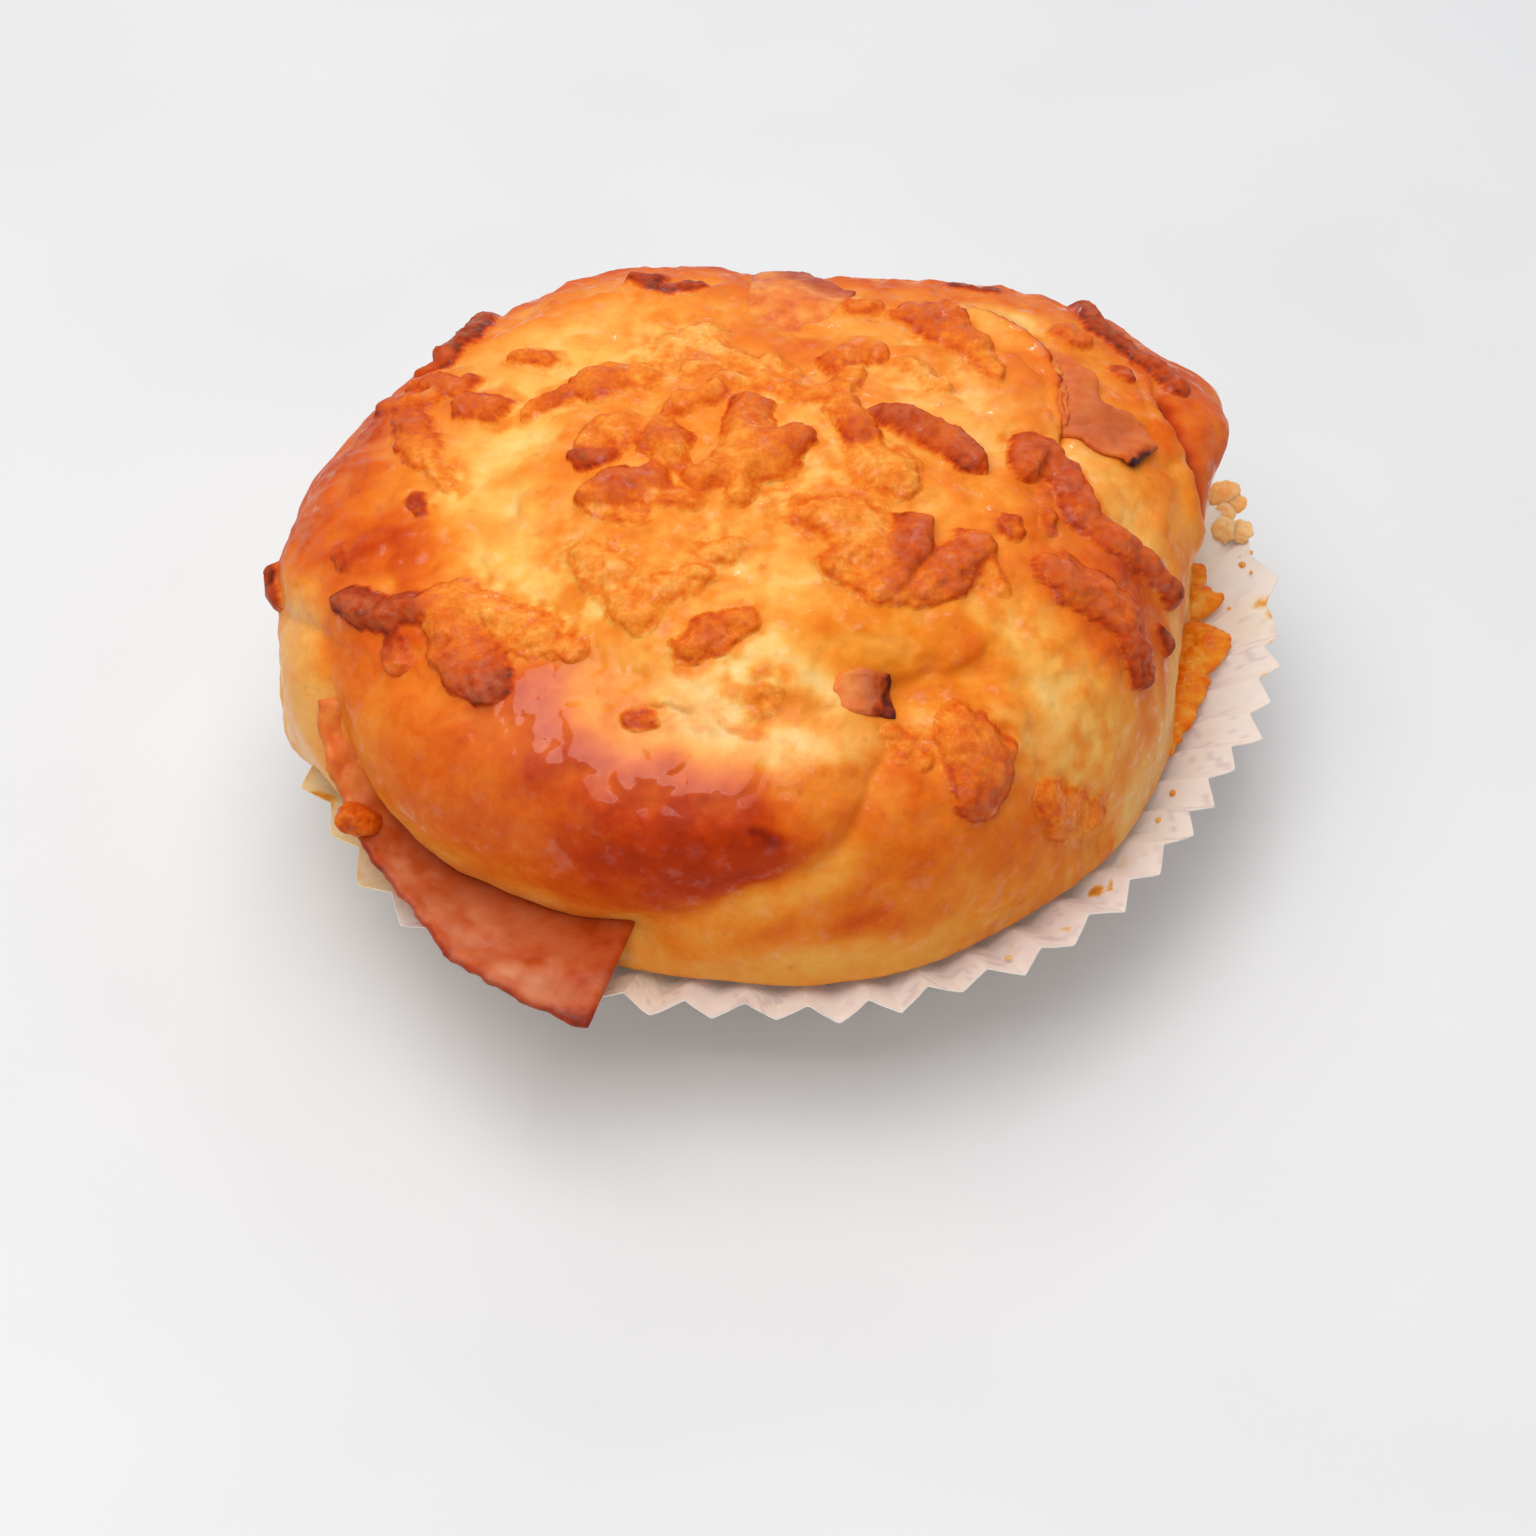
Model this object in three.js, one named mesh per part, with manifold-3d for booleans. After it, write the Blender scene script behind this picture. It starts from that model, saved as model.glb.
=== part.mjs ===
// Ham and cheese roll in its pleated paper case.
// Millimetres, +Z up. The origin is the centre of the case's flat base, which rests on z = 0.
// The roll is a soft round bread, wound from layers of dough with slices of ham between them,
// with shreds of cheese toasted onto its top.
import * as THREE from "three";
import { mergeVertices } from "three/addons/utils/BufferGeometryUtils.js";
import Module from "manifold-3d";

const wasm = await Module();
wasm.setup();

// ---------------------------------------------------------------- driving dimensions
const GAP = 0.3; // clearance kept between pieces that touch

// bread: a swollen dome about a centre point
const CENTRE = [-3.4, 1.4, 22.0];
const MEAN_RADIUS = 52.0; // across, at the widest level
const CROWN = 29.8; // height of the top above the centre point
const BELLY = 34.0; // reach of the underside below it, before the case flattens it
const SQUARENESS = 2.9; // exponent of the dome's profile
const OUTLINE = [ // uneven outline seen from above: [waves round, cosine mm, sine mm]
  [2, 1.9, 2.6],
  [3, -1.1, 1.85],
  [4, -0.8, 1.7],
  [5, -0.9, -0.6],
];
const BREAD_DETAIL = 10; // splits of each icosahedron edge
const SOFT_EDGE = 1.2; // rounding where the dough meets the case

// paper case
const PLEATS = 48;
const BASE_RADIUS = 33.5;
const FLARE = 5.0; // exponent of the wall's outward curl: half of its spread comes close under the rim
const PAPER = 0.45; // wall as modelled, stiff enough to keep its pleats
const PLEAT_BASE = 0.45; // depth of a pleat either side of the mean wall, at the base
const PLEAT_RIM = 1.2; // and at the rim
const PLEAT_RISE = 0.4; // the inner folds stand this much above the outer ones, either side, at the rim
const RIM_HEIGHT = 18.8;
const RIM_TILT = 0.6; // the rim stands higher on the side that the dough leans away from
const RIM_TILT_AT = 20; // degrees
const RIM_DIP = 0.8; // where the front slice of ham presses the rim down
const RIM_DIP_AT = -122;
const RIM_DIP_WIDTH = 18;
const RIM_MEAN = 56.4;
const RIM_OUTLINE = [
  [1, -0.55, 2.7],
  [2, 0.0, 2.35],
  [3, 0.1, 0.6],
  [4, -0.45, 0.8],
];
const RIM_DENTS = [[184, 20, 1.3]]; // [azimuth, width in degrees, depth in mm]

// folds of the dough, as creases that run through directions [azimuth, elevation] in degrees
// about the centre point; depth in mm at each, then the half width on each side
const FOLDS = [
  { // where the inner coil meets the outer one
    at: [[98, 55], [115, 55], [132, 54], [151, 52], [167, 47], [178, 44], [-168, 41], [-156, 38], [-145, 37], [-131, 37], [-116, 36], [-103, 34], [-91, 32], [-80, 33], [-67, 33], [-57, 34], [-46, 34]],
    depth: [0.8, 1.6, 2.4, 3.0, 3.6, 4.4, 5.0, 5.0, 4.2, 3.4, 3.0, 3.4, 4.2, 5.0, 5.6, 4.0, 0.8],
    left: 9.0,
    right: 13.0,
  },
  { // under the front roll, where the large slice comes out
    at: [[-157, 18], [-150, 13], [-145, 8], [-141, 3], [-136, 0], [-129, -2], [-118, -1], [-106, 1]],
    depth: [0.6, 2.2, 3.6, 4.2, 4.5, 4.5, 4.2, 3.0],
    left: 9.0,
    right: 6.0,
  },
  { // the front roll's end, over the lower lobe
    at: [[-68, 28], [-74, 25], [-78, 20], [-83, 15], [-90, 12], [-97, 8], [-105, 4]],
    depth: [3.0, 2.8, 2.6, 2.4, 2.4, 2.6, 2.6],
    left: 9.0,
    right: 9.0,
  },
  { // the edge of the thin top layer, over the right slice
    at: [[58, 45], [45, 42], [34, 40], [23, 39], [10, 39], [-4, 40]],
    depth: [0.6, 1.6, 2.2, 2.4, 2.0, 0.4],
    left: 5.0,
    right: 7.0,
  },
  { // front right lobe
    at: [[-45, 34], [-47, 26], [-49, 18], [-41, 0]],
    depth: [0.5, 1.6, 2.0, 1.6],
    left: 8.0,
    right: 8.0,
  },
  { // notch at the left
    at: [[-175, 9], [-161, 17], [-154, 19]],
    depth: [1.6, 2.4, 1.0],
    left: 6.0,
    right: 6.0,
  },
];

// swellings: directions, half width and height in mm
const SWELLS = [
  { at: [[-120, 62]], width: 19.0, height: 1.2 },
  { at: [[-134, 16], [-122, 21], [-105, 22], [-89, 23], [-80, 26]], width: 9.0, height: 2.4 },
  { at: [[-173, 17], [177, 23], [162, 28], [140, 33], [116, 38]], width: 9.0, height: 1.0 },
  { at: [[9, 63], [-21, 45], [-33, 28]], width: 10.0, height: 1.2 },
  { at: [[-65, 16]], width: 9.0, height: 0.8 },
  { at: [[18, 19], [8, 14]], width: 6.0, height: 1.2 },
  // the lip at the right hangs over a side that draws in below it
  { at: [[27, 14], [20, 16]], width: 5.2, height: 3.4 },
  { at: [[16, 8], [5, 7], [0, 3]], width: 9.0, height: -4.2 },
  { at: [[24, -2], [14, -3], [5, -7]], width: 6.5, height: -2.6 },
  // so does the left side below the ring, and beside the narrow end of the front slice
  { at: [[-178, 6], [-169, 4]], width: 7.0, height: -2.4 },
  { at: [[-154, -4], [-148, -5], [-143, -4]], width: 5.0, height: -3.4 },
  { at: [[-108, -3], [-94, -4]], width: 7.0, height: -1.6 },
  { at: [[-60, -4], [-52, -4]], width: 5.5, height: -1.0 },
];

// slices of ham: each is one sheet, given by three rows of [azimuth, elevation, height over the
// plain dome in mm]: its free edge, where it enters the dough, and its hidden edge inside
const HAM_THICKNESS = 1.5;
const HAM = {
  ham_front: {
    free: [[-152, 13.4, 0.9], [-148, 8.4, 1.2], [-144.5, 4.4, 1.4], [-140, 1.2, 2.6], [-133.3, 0.2, 4.6], [-127.4, -0.7, 6.4], [-121.6, -1.2, 8.4], [-113.7, -1.8, 9.3], [-106.4, -2.4, 9.2]],
    entry: [[-151.5, 13.6, -2.2], [-147.4, 9.4, -3.4], [-143.2, 5.0, -4.0], [-138.6, 1.4, -4.4], [-133, -0.9, -4.6], [-127.5, -1.5, -4.6], [-120.5, -1.2, -4.5], [-113, -0.4, -4.0], [-105.5, 0.6, -3.4]],
    hidden: [[-149, 13, -13], [-146, 9, -14], [-142, 6, -15], [-137, 2.5, -16], [-132, 0.5, -17], [-127, 0, -17], [-120, 0, -17], [-113, 0.5, -16], [-106, 1, -15]],
  },
  ham_centre: {
    free: [[-102, 35.6, -1.2], [-93.5, 35.4, -1.0], [-85, 35.2, -0.8], [-77.5, 35.2, -0.2], [-70.5, 34.8, 0.9]],
    entry: [[-101.5, 34.0, -3.6], [-93.5, 33.4, -4.2], [-85, 33.2, -4.8], [-77.5, 33.2, -5.2], [-70, 33.0, -5.4]],
    hidden: [[-101, 33.5, -12], [-93.5, 33, -13], [-85, 33, -13.5], [-77.5, 33, -14], [-70, 33, -14]],
  },
  ham_right: {
    free: [[23.6, 33.0, 0.5], [17.0, 31.4, 0.5], [11.2, 29.8, 0.6], [6.0, 29.4, 1.0]],
    entry: [[29.5, 37.6, -1.7], [22.9, 38.2, -2.0], [16.5, 38.6, -1.9], [10.0, 38.9, -1.4]],
    hidden: [[35, 46, -6.4], [24, 48.5, -6.6], [13, 49.5, -6.4], [4, 49.5, -6.0]],
  },
  ham_back: {
    free: [[100, 54.5, 0.1], [91, 56, 0.3], [82, 56.5, 0.3], [73, 56, 0.1]],
    entry: [[94.5, 37.5, 0.2], [87, 37, -0.1], [79.5, 38.8, -0.3], [71.5, 42.5, -0.4]],
    hidden: [[92, 26, -4.8], [86, 25, -5.6], [79, 27, -5.8], [70, 31, -5.6]],
  },
};

// toasted shreds and lumps of cheese: directions along the middle, full width in mm at each, height;
// a branch is a second arm that has melted into the first
const CHEESE = {
  chain: { at: [[-4.6, 45.3], [0, 41.9], [-8.5, 37.8], [-14.2, 33.9], [-14.1, 28.5], [-12.2, 20.5]], width: [5.5, 6.5, 5.5, 5, 5, 4.5], height: 1.9 },
  arc: { at: [[-28.7, 36.8], [-25.6, 31.4], [-24.8, 25.7], [-27.3, 19.1]], width: [5, 6.5, 6, 5], height: 1.8 },
  stick: { at: [[12.1, 67.3], [5, 61.6], [0.1, 56.8], [-8.7, 52.3]], width: [4.5, 4.5, 4.5, 5], height: 2.0 },
  fork: {
    at: [[-41.8, 54.2], [-49.6, 51.3], [-56.8, 48.3]], width: [5.5, 5.5, 5], height: 1.9,
    branch: { at: [[-36.6, 46], [-44.3, 45.4], [-50.5, 44.8], [-55, 46.6]], width: [6, 6.5, 5.5, 4.5], height: 1.8 },
  },
  wedge: { at: [[-59.9, 27.8], [-59.8, 24], [-59.5, 20.4]], width: [4, 8, 8.5], height: 1.9 },
  knuckle: {
    at: [[-145.6, 31], [-138.2, 29.7], [-131, 28]], width: [6, 8.5, 7], height: 2.2,
    branch: { at: [[-145.5, 33.4], [-133.2, 34.6], [-124.1, 35.6]], width: [5.5, 6, 4], height: 1.7 },
  },
  crumble: { at: [[-159.5, 23.2], [-154, 25.4], [-149, 28.4]], width: [5, 6, 5.5], height: 1.9 },
  clover: { at: [[121.7, 84.1], [-128.3, 82.8], [-111.3, 74.7]], width: [6, 12, 7], height: 1.9 },
  oval: { at: [[-150.2, 56.7], [-145.1, 60], [-138.1, 63.5]], width: [5, 6.5, 6], height: 1.7 },
  button: { at: [[149.8, 54.9], [146.4, 58.3]], width: [7, 7], height: 1.7 },
  saddle: { at: [[54.8, 45.5], [47.4, 46.5], [35.7, 47.5]], width: [6, 6.5, 5], height: 1.9 },
  pip: { at: [[170.8, 32.6], [179.2, 34.5]], width: [6, 6.5], height: 1.6 },
  knob: { at: [[-134.8, 47.3], [-128.9, 47.7]], width: [7.5, 7.5], height: 1.5 },
  chip: { at: [[-103.9, 41.5], [-99.5, 42.9], [-94.5, 44.5]], width: [5.5, 6.5, 5], height: 1.6 },
  petal: { at: [[-20.7, 67.7], [-25.2, 62.6]], width: [8, 8], height: 1.5 },
  lump_left: { at: [[177.4, 58.8], [-167.2, 58.2]], width: [7, 8], height: 1.6 },
  lump_right: { at: [[177.8, 70.2], [-157.9, 69.8]], width: [7, 7], height: 1.6 },
  tab: { at: [[34.6, 72.4], [5.1, 72.8]], width: [5, 6], height: 1.6 },
  island: { at: [[-70.8, 65.4], [-62.5, 60.2], [-59, 55.7]], width: [8, 11, 8], height: 1.6 },
  drip: { at: [[-49.4, 13.5], [-46, 8.2], [-40.7, 1.5]], width: [5, 6.5, 6], height: 2.0 },
  rim_chip: { at: [[157, 32.6], [149, 32.6]], width: [5.5, 5.5], height: 1.8 },
  crest: { at: [[41.5, 27.5], [33.3, 27.5], [28.6, 25.8], [24.5, 22.6]], width: [4, 5.5, 5.5, 4], height: 1.7 },
};
const CHEESE_SECTIONS = 5; // along a shred
const CHEESE_ACROSS = 4;

// crisp frill of overflowed cheese that lies on the flared wall between the dough and the case:
// its lobes [azimuth, half width in degrees, height of the tip]
const FRILL = {
  from: 25, to: -15, low: 12.0, thickness: 1.4, off: 0.3, steps: 18,
  lobes: [[20.4, 3.0, 17.9], [15.4, 2.8, 18.0], [6.4, 5.2, 18.2], [-1.2, 3.4, 17.6], [-6.5, 3.2, 17.3], [-11.6, 3.6, 16.9]],
};

// ---------------------------------------------------------------- shape functions
const rad = THREE.MathUtils.degToRad;
const clamp = THREE.MathUtils.clamp;

function direction(azimuth, elevation) {
  const a = rad(azimuth), e = rad(elevation);
  return new THREE.Vector3(Math.cos(e) * Math.cos(a), Math.cos(e) * Math.sin(a), Math.sin(e));
}

function domeRadius(d) {
  const azimuth = Math.atan2(d.y, d.x), across = Math.hypot(d.x, d.y);
  let uneven = 0;
  for (const [k, c, s] of OUTLINE) uneven += c * Math.cos(k * azimuth) + s * Math.sin(k * azimuth);
  const w = clamp(across / 0.35, 0, 1);
  const radius = MEAN_RADIUS + uneven * w * w * (3 - 2 * w);
  const height = d.z > 0 ? CROWN : BELLY;
  const den = (across / radius) ** SQUARENESS + (Math.abs(d.z) / height) ** SQUARENESS;
  return den ** (-1 / SQUARENESS);
}

// nearest place on a crease: its distance on the unit sphere, the side and how far along
function nearest(d, line) {
  if (line.length === 1) return { distance: d.distanceTo(line[0]), side: 1, along: 0 };
  let best = { distance: 9, side: 1, along: 0 };
  const ab = new THREE.Vector3(), q = new THREE.Vector3();
  for (let i = 0; i < line.length - 1; i++) {
    const a = line[i], b = line[i + 1];
    ab.subVectors(b, a);
    const t = clamp(q.subVectors(d, a).dot(ab) / ab.lengthSq(), 0, 1);
    const distance = q.copy(a).addScaledVector(ab, t).distanceTo(d);
    if (distance < best.distance)
      best = { distance, side: Math.sign(q.crossVectors(a, b).dot(d)), along: i + t };
  }
  return best;
}

const foldLines = FOLDS.map((f) => f.at.map((p) => direction(...p)));
const swellLines = SWELLS.map((s) => s.at.map((p) => direction(...p)));

// two round rolls of dough pressed together leave a sharp crease between round shoulders
function foldHeight(d, r) {
  let h = 0;
  FOLDS.forEach((f, k) => {
    const n = nearest(d, foldLines[k]);
    const i = Math.min(Math.floor(n.along), f.depth.length - 2), t = n.along - i;
    const depth = f.depth[i] * (1 - t) + f.depth[i + 1] * t;
    const x = clamp((n.distance * r) / (n.side > 0 ? f.left : f.right), 0, 1);
    h -= depth * (1 - Math.sqrt(Math.max(0, 1 - (1 - x) ** 2)));
  });
  SWELLS.forEach((s, k) => {
    const n = nearest(d, swellLines[k]);
    h += s.height * Math.exp(-(((n.distance * r) / s.width) ** 2));
  });
  return h;
}

function rimRadius(a) {
  let r = RIM_MEAN;
  for (const [k, c, s] of RIM_OUTLINE) r += c * Math.cos(k * a) + s * Math.sin(k * a);
  for (const [at, width, depth] of RIM_DENTS) {
    const off = a - rad(at);
    r -= depth * Math.exp(-((Math.atan2(Math.sin(off), Math.cos(off)) / rad(width)) ** 2));
  }
  return r;
}

function rimHeight(a) {
  let off = a - rad(RIM_DIP_AT);
  off = Math.atan2(Math.sin(off), Math.cos(off)) / rad(RIM_DIP_WIDTH);
  return RIM_HEIGHT + RIM_TILT * Math.cos(a - rad(RIM_TILT_AT)) - RIM_DIP * Math.exp(-off * off);
}

function wallRadius(a, z) {
  const t = clamp(z / rimHeight(a), 0, 1);
  return BASE_RADIUS + (rimRadius(a) - BASE_RADIUS) * 0.5 * (t + t ** FLARE);
}

function wallInside(a, z) {
  const rim = rimHeight(a), t = clamp(z / rim, 0, 1);
  return wallRadius(a, z) - (PLEAT_BASE + (PLEAT_RIM - PLEAT_BASE) * t) - PAPER / 2 + Math.max(z - rim - 0.5, 0) * 2.5;
}

// how far the dough may reach along a direction before it meets the case
function caseLimit(d) {
  let low = 5, high = 90;
  for (let i = 0; i < 30; i++) {
    const r = (low + high) / 2;
    const x = CENTRE[0] + d.x * r, y = CENTRE[1] + d.y * r, z = CENTRE[2] + d.z * r;
    const inside = Math.hypot(x, y) < wallInside(Math.atan2(y, x), Math.max(z - 0.8, 0)) - 0.5 && z > PAPER + 0.5;
    if (inside) low = r;
    else high = r;
  }
  return low;
}

function breadRadius(d) {
  const r0 = domeRadius(d), r = r0 + foldHeight(d, r0), limit = caseLimit(d);
  const h = clamp(0.5 + (0.5 * (limit - r)) / SOFT_EDGE, 0, 1);
  return limit * (1 - h) + r * h - SOFT_EDGE * h * (1 - h);
}

function place(d, r) {
  return new THREE.Vector3(...CENTRE).addScaledVector(d, r);
}

// ---------------------------------------------------------------- solids
function solidFrom(positions, index) {
  const g = new THREE.BufferGeometry();
  g.setAttribute("position", new THREE.BufferAttribute(new Float32Array(positions), 3));
  g.setIndex(index);
  const merged = mergeVertices(g, 1e-4);
  const tri = [];
  const ix = merged.index.array;
  for (let i = 0; i < ix.length; i += 3)
    if (ix[i] !== ix[i + 1] && ix[i + 1] !== ix[i + 2] && ix[i] !== ix[i + 2])
      tri.push(ix[i], ix[i + 1], ix[i + 2]);
  const solid = new wasm.Manifold(
    new wasm.Mesh({ numProp: 3, vertProperties: merged.attributes.position.array, triVerts: new Uint32Array(tri) }),
  );
  return solid;
}

function largest(solid) {
  return solid.decompose().sort((a, b) => b.volume() - a.volume())[0];
}

function geometryOf(solid) {
  const m = solid.getMesh(), n = m.numProp, v = new Float32Array(m.numVert * 3);
  for (let i = 0; i < m.numVert; i++) v.set(m.vertProperties.subarray(i * n, i * n + 3), i * 3);
  const g = new THREE.BufferGeometry();
  g.setAttribute("position", new THREE.BufferAttribute(v, 3));
  g.setIndex(new THREE.BufferAttribute(new Uint32Array(m.triVerts), 1));
  return g;
}

// a block of (n+1) x (m+1) points above and below, closed round its edge
function slab(n, m, point) {
  const positions = [], index = [];
  const at = (i, j, top) => (i * (m + 1) + j) * 2 + top;
  for (let i = 0; i <= n; i++)
    for (let j = 0; j <= m; j++)
      for (const top of [0, 1]) positions.push(...point(i / n, j / m, top).toArray());
  const quad = (a, b, c, d) => index.push(a, b, c, a, c, d);
  for (let i = 0; i < n; i++)
    for (let j = 0; j < m; j++) {
      quad(at(i, j, 1), at(i + 1, j, 1), at(i + 1, j + 1, 1), at(i, j + 1, 1));
      quad(at(i, j, 0), at(i, j + 1, 0), at(i + 1, j + 1, 0), at(i + 1, j, 0));
    }
  for (let i = 0; i < n; i++) {
    quad(at(i, 0, 0), at(i + 1, 0, 0), at(i + 1, 0, 1), at(i, 0, 1));
    quad(at(i, m, 1), at(i + 1, m, 1), at(i + 1, m, 0), at(i, m, 0));
  }
  for (let j = 0; j < m; j++) {
    quad(at(0, j, 0), at(0, j, 1), at(0, j + 1, 1), at(0, j + 1, 0));
    quad(at(n, j, 1), at(n, j, 0), at(n, j + 1, 0), at(n, j + 1, 1));
  }
  const solid = solidFrom(positions, index);
  if (solid.volume() > 0) return solid;
  for (let k = 0; k < index.length; k += 3) [index[k + 1], index[k + 2]] = [index[k + 2], index[k + 1]];
  return solidFrom(positions, index);
}

// the dough, grown by `grow` along its radius
function dough(grow) {
  const g = new THREE.IcosahedronGeometry(1, BREAD_DETAIL);
  g.deleteAttribute("normal");
  g.deleteAttribute("uv");
  const m = mergeVertices(g, 1e-5), p = m.attributes.position, d = new THREE.Vector3();
  for (let i = 0; i < p.count; i++) {
    d.fromBufferAttribute(p, i).normalize();
    const q = place(d, breadRadius(d) + grow);
    p.setXYZ(i, q.x, q.y, q.z);
  }
  return solidFrom(p.array, Array.from(m.index.array));
}

// the case: a zigzag wall on a flat floor, as one closed shell; the wall keeps its thickness square
// to its slope
function paperCase(thickness) {
  const columns = PLEATS * 2, levels = [0, 0.6, 0.84, 1], positions = [], index = [];
  const half = thickness / 2;
  const wallAt = (a, t, fold, side) => {
    const slope = ((rimRadius(a) - BASE_RADIUS) * 0.5 * (1 + FLARE * t ** (FLARE - 1))) / rimHeight(a);
    const n = Math.hypot(1, slope);
    return [
      wallRadius(a, rimHeight(a) * t) + fold * (PLEAT_BASE + (PLEAT_RIM - PLEAT_BASE) * t) + (side * half) / n,
      rimHeight(a) * t - fold * PLEAT_RISE * t ** FLARE - (side * half * slope) / n,
    ];
  };
  const floor = Math.min(thickness, PAPER + GAP);
  for (let c = 0; c < columns; c++) {
    const a = (c / columns) * 2 * Math.PI, fold = c % 2 ? -1 : 1;
    const ring = [];
    for (const t of levels) ring.push(t > 0 ? wallAt(a, t, fold, 1) : [wallAt(a, 0, fold, 1)[0], 0]);
    for (const t of [...levels].reverse()) ring.push(t > 0 ? wallAt(a, t, fold, -1) : [wallAt(a, 0, fold, -1)[0], floor]);
    for (const [r, z] of ring) positions.push(r * Math.cos(a), r * Math.sin(a), z);
  }
  const n = levels.length * 2;
  const bottom = positions.length / 3;
  positions.push(0, 0, 0, 0, 0, floor);
  for (let c = 0; c < columns; c++) {
    const p = c * n, q = ((c + 1) % columns) * n;
    for (let k = 0; k < n - 1; k++) index.push(p + k, q + k, q + k + 1, p + k, q + k + 1, p + k + 1);
    index.push(bottom, q, p);
    index.push(bottom + 1, p + n - 1, q + n - 1);
  }
  return solidFrom(positions, index);
}

// one slice of ham; `grow` widens it for the slot that it lies in
function hamSlice(slice, grow) {
  const rowOf = (row) =>
    new THREE.CatmullRomCurve3(row.map(([a, e, h]) => {
      const d = direction(a, e);
      return place(d, domeRadius(d) + h);
    }));
  const rows = [rowOf(slice.free), rowOf(slice.entry), rowOf(slice.hidden)];
  const n = slice.free.length > 5 ? 12 : 6, m = 5;
  const overU = grow / rows[1].getLength();
  const across = rows[0].getPoint(0.5).distanceTo(rows[1].getPoint(0.5)) + rows[1].getPoint(0.5).distanceTo(rows[2].getPoint(0.5));
  const overV = grow / across;
  const mid = (u, v) => {
    const uc = clamp(u, 0, 1);
    const [a, b, c] = rows.map((r) => {
      const p = r.getPoint(uc);
      if (u !== uc) p.addScaledVector(r.getTangent(uc), (u - uc) * rows[1].getLength());
      return p;
    });
    // a parabola through the three rows, spaced by their distances, so that the slice bends smoothly
    const k = a.distanceTo(b) / (a.distanceTo(b) + b.distanceTo(c));
    const w0 = ((v - k) * (v - 1)) / k, w1 = (v * (v - 1)) / (k * (k - 1)), w2 = (v * (v - k)) / (1 - k);
    return new THREE.Vector3().addScaledVector(a, w0).addScaledVector(b, w1).addScaledVector(c, w2);
  };
  // a slot has one more row of points round its edge, so that its faces stay parallel to the slice's
  const more = grow > 0 ? 1 : 0;
  const spread = (s, count, over) => {
    const i = Math.round(s * (count + 2 * more)) - more;
    return i < 0 ? -over : i > count ? 1 + over : i / count;
  };
  return slab(n + 2 * more, m + 2 * more, (s, t, top) => {
    const u = spread(s, n, overU), v = spread(t, m, overV), e = 0.02;
    const uc = clamp(u, 0, 1), vc = clamp(v, 0, 1);
    const du = mid(uc + e, vc).sub(mid(uc - e, vc)), dv = mid(uc, vc + e).sub(mid(uc, vc - e));
    const normal = du.cross(dv).normalize();
    return mid(u, v).addScaledVector(normal, (top ? 1 : -1) * (HAM_THICKNESS / 2 + grow));
  });
}

// one shred of cheese: a rounded ridge over the crust, still deep below it
function cheeseRidge(shred, grow) {
  const ds = shred.at.map((p) => direction(...p));
  const curve = new THREE.CatmullRomCurve3(ds.map((d) => d.clone().multiplyScalar(domeRadius(d))));
  const length = curve.getLength();
  const ends = [shred.width[0], shred.width.at(-1)].map((w) => w * 0.42 + grow);
  const total = length + ends[0] + ends[1];
  return slab(CHEESE_SECTIONS, CHEESE_ACROSS, (s, t, top) => {
    const along = (0.5 - 0.5 * Math.cos(Math.PI * s)) * total - ends[0];
    const u = clamp(along / length, 0, 1);
    const p = curve.getPointAt(u), tangent = curve.getTangentAt(u);
    p.addScaledVector(tangent, along - u * length);
    const out = p.clone().normalize();
    const side = new THREE.Vector3().crossVectors(tangent, out).normalize();
    const k = u * (shred.width.length - 1), i = Math.min(Math.floor(k), shred.width.length - 2);
    const width = shred.width[i] + (shred.width[i + 1] - shred.width[i]) * (k - i);
    const cap = Math.sqrt(Math.max(0, 1 - Math.abs(2 * s - 1) ** 3));
    const half = (width / 2 + grow) * cap;
    const x = 2 * t - 1;
    p.addScaledVector(side, x * half);
    const d = p.normalize();
    const crown = Math.sqrt(Math.max(0, 1 - Math.abs(x) ** 2.6)) * Math.max(cap, 0.25);
    return place(d, breadRadius(d) + (top ? 0.15 + (shred.height + grow) * crown : -1.2 - grow));
  });
}

function frill() {
  const f = FRILL;
  return slab(f.steps, 3, (s, t, top) => {
    const azimuth = f.from + (f.to - f.from) * s, a = rad(azimuth);
    let tip = 16.2;
    for (const [at, half, z] of f.lobes) {
      const x = (azimuth - at) / half;
      if (Math.abs(x) < 1) tip = Math.max(tip, 16.2 + (z - 16.2) * Math.sqrt(1 - x * x));
    }
    const z = f.low + (tip - f.low) * t, e = 0.1;
    const slope = (wallInside(a, z + e) - wallInside(a, z - e)) / (2 * e), n = Math.hypot(1, slope);
    const out = f.off + (top ? f.thickness : 0);
    const r = wallInside(a, z) - out / n;
    return new THREE.Vector3(r * Math.cos(a), r * Math.sin(a), z + (out * slope) / n);
  });
}

// ---------------------------------------------------------------- assembly
const root = new THREE.Group();
root.name = "ham_and_cheese_roll";

const looks = {
  crust: new THREE.MeshStandardMaterial({ color: 0xd98a3a, roughness: 0.42, metalness: 0 }),
  ham: new THREE.MeshStandardMaterial({ color: 0xd9806a, roughness: 0.38, metalness: 0 }),
  cheese: new THREE.MeshStandardMaterial({ color: 0xc0602a, roughness: 0.45, metalness: 0 }),
  paper: new THREE.MeshStandardMaterial({ color: 0xf0e6e2, roughness: 0.8, metalness: 0 }),
};

function add(name, solid, look) {
  const mesh = new THREE.Mesh(geometryOf(solid), looks[look].clone());
  mesh.name = name;
  root.add(mesh);
}

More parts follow.
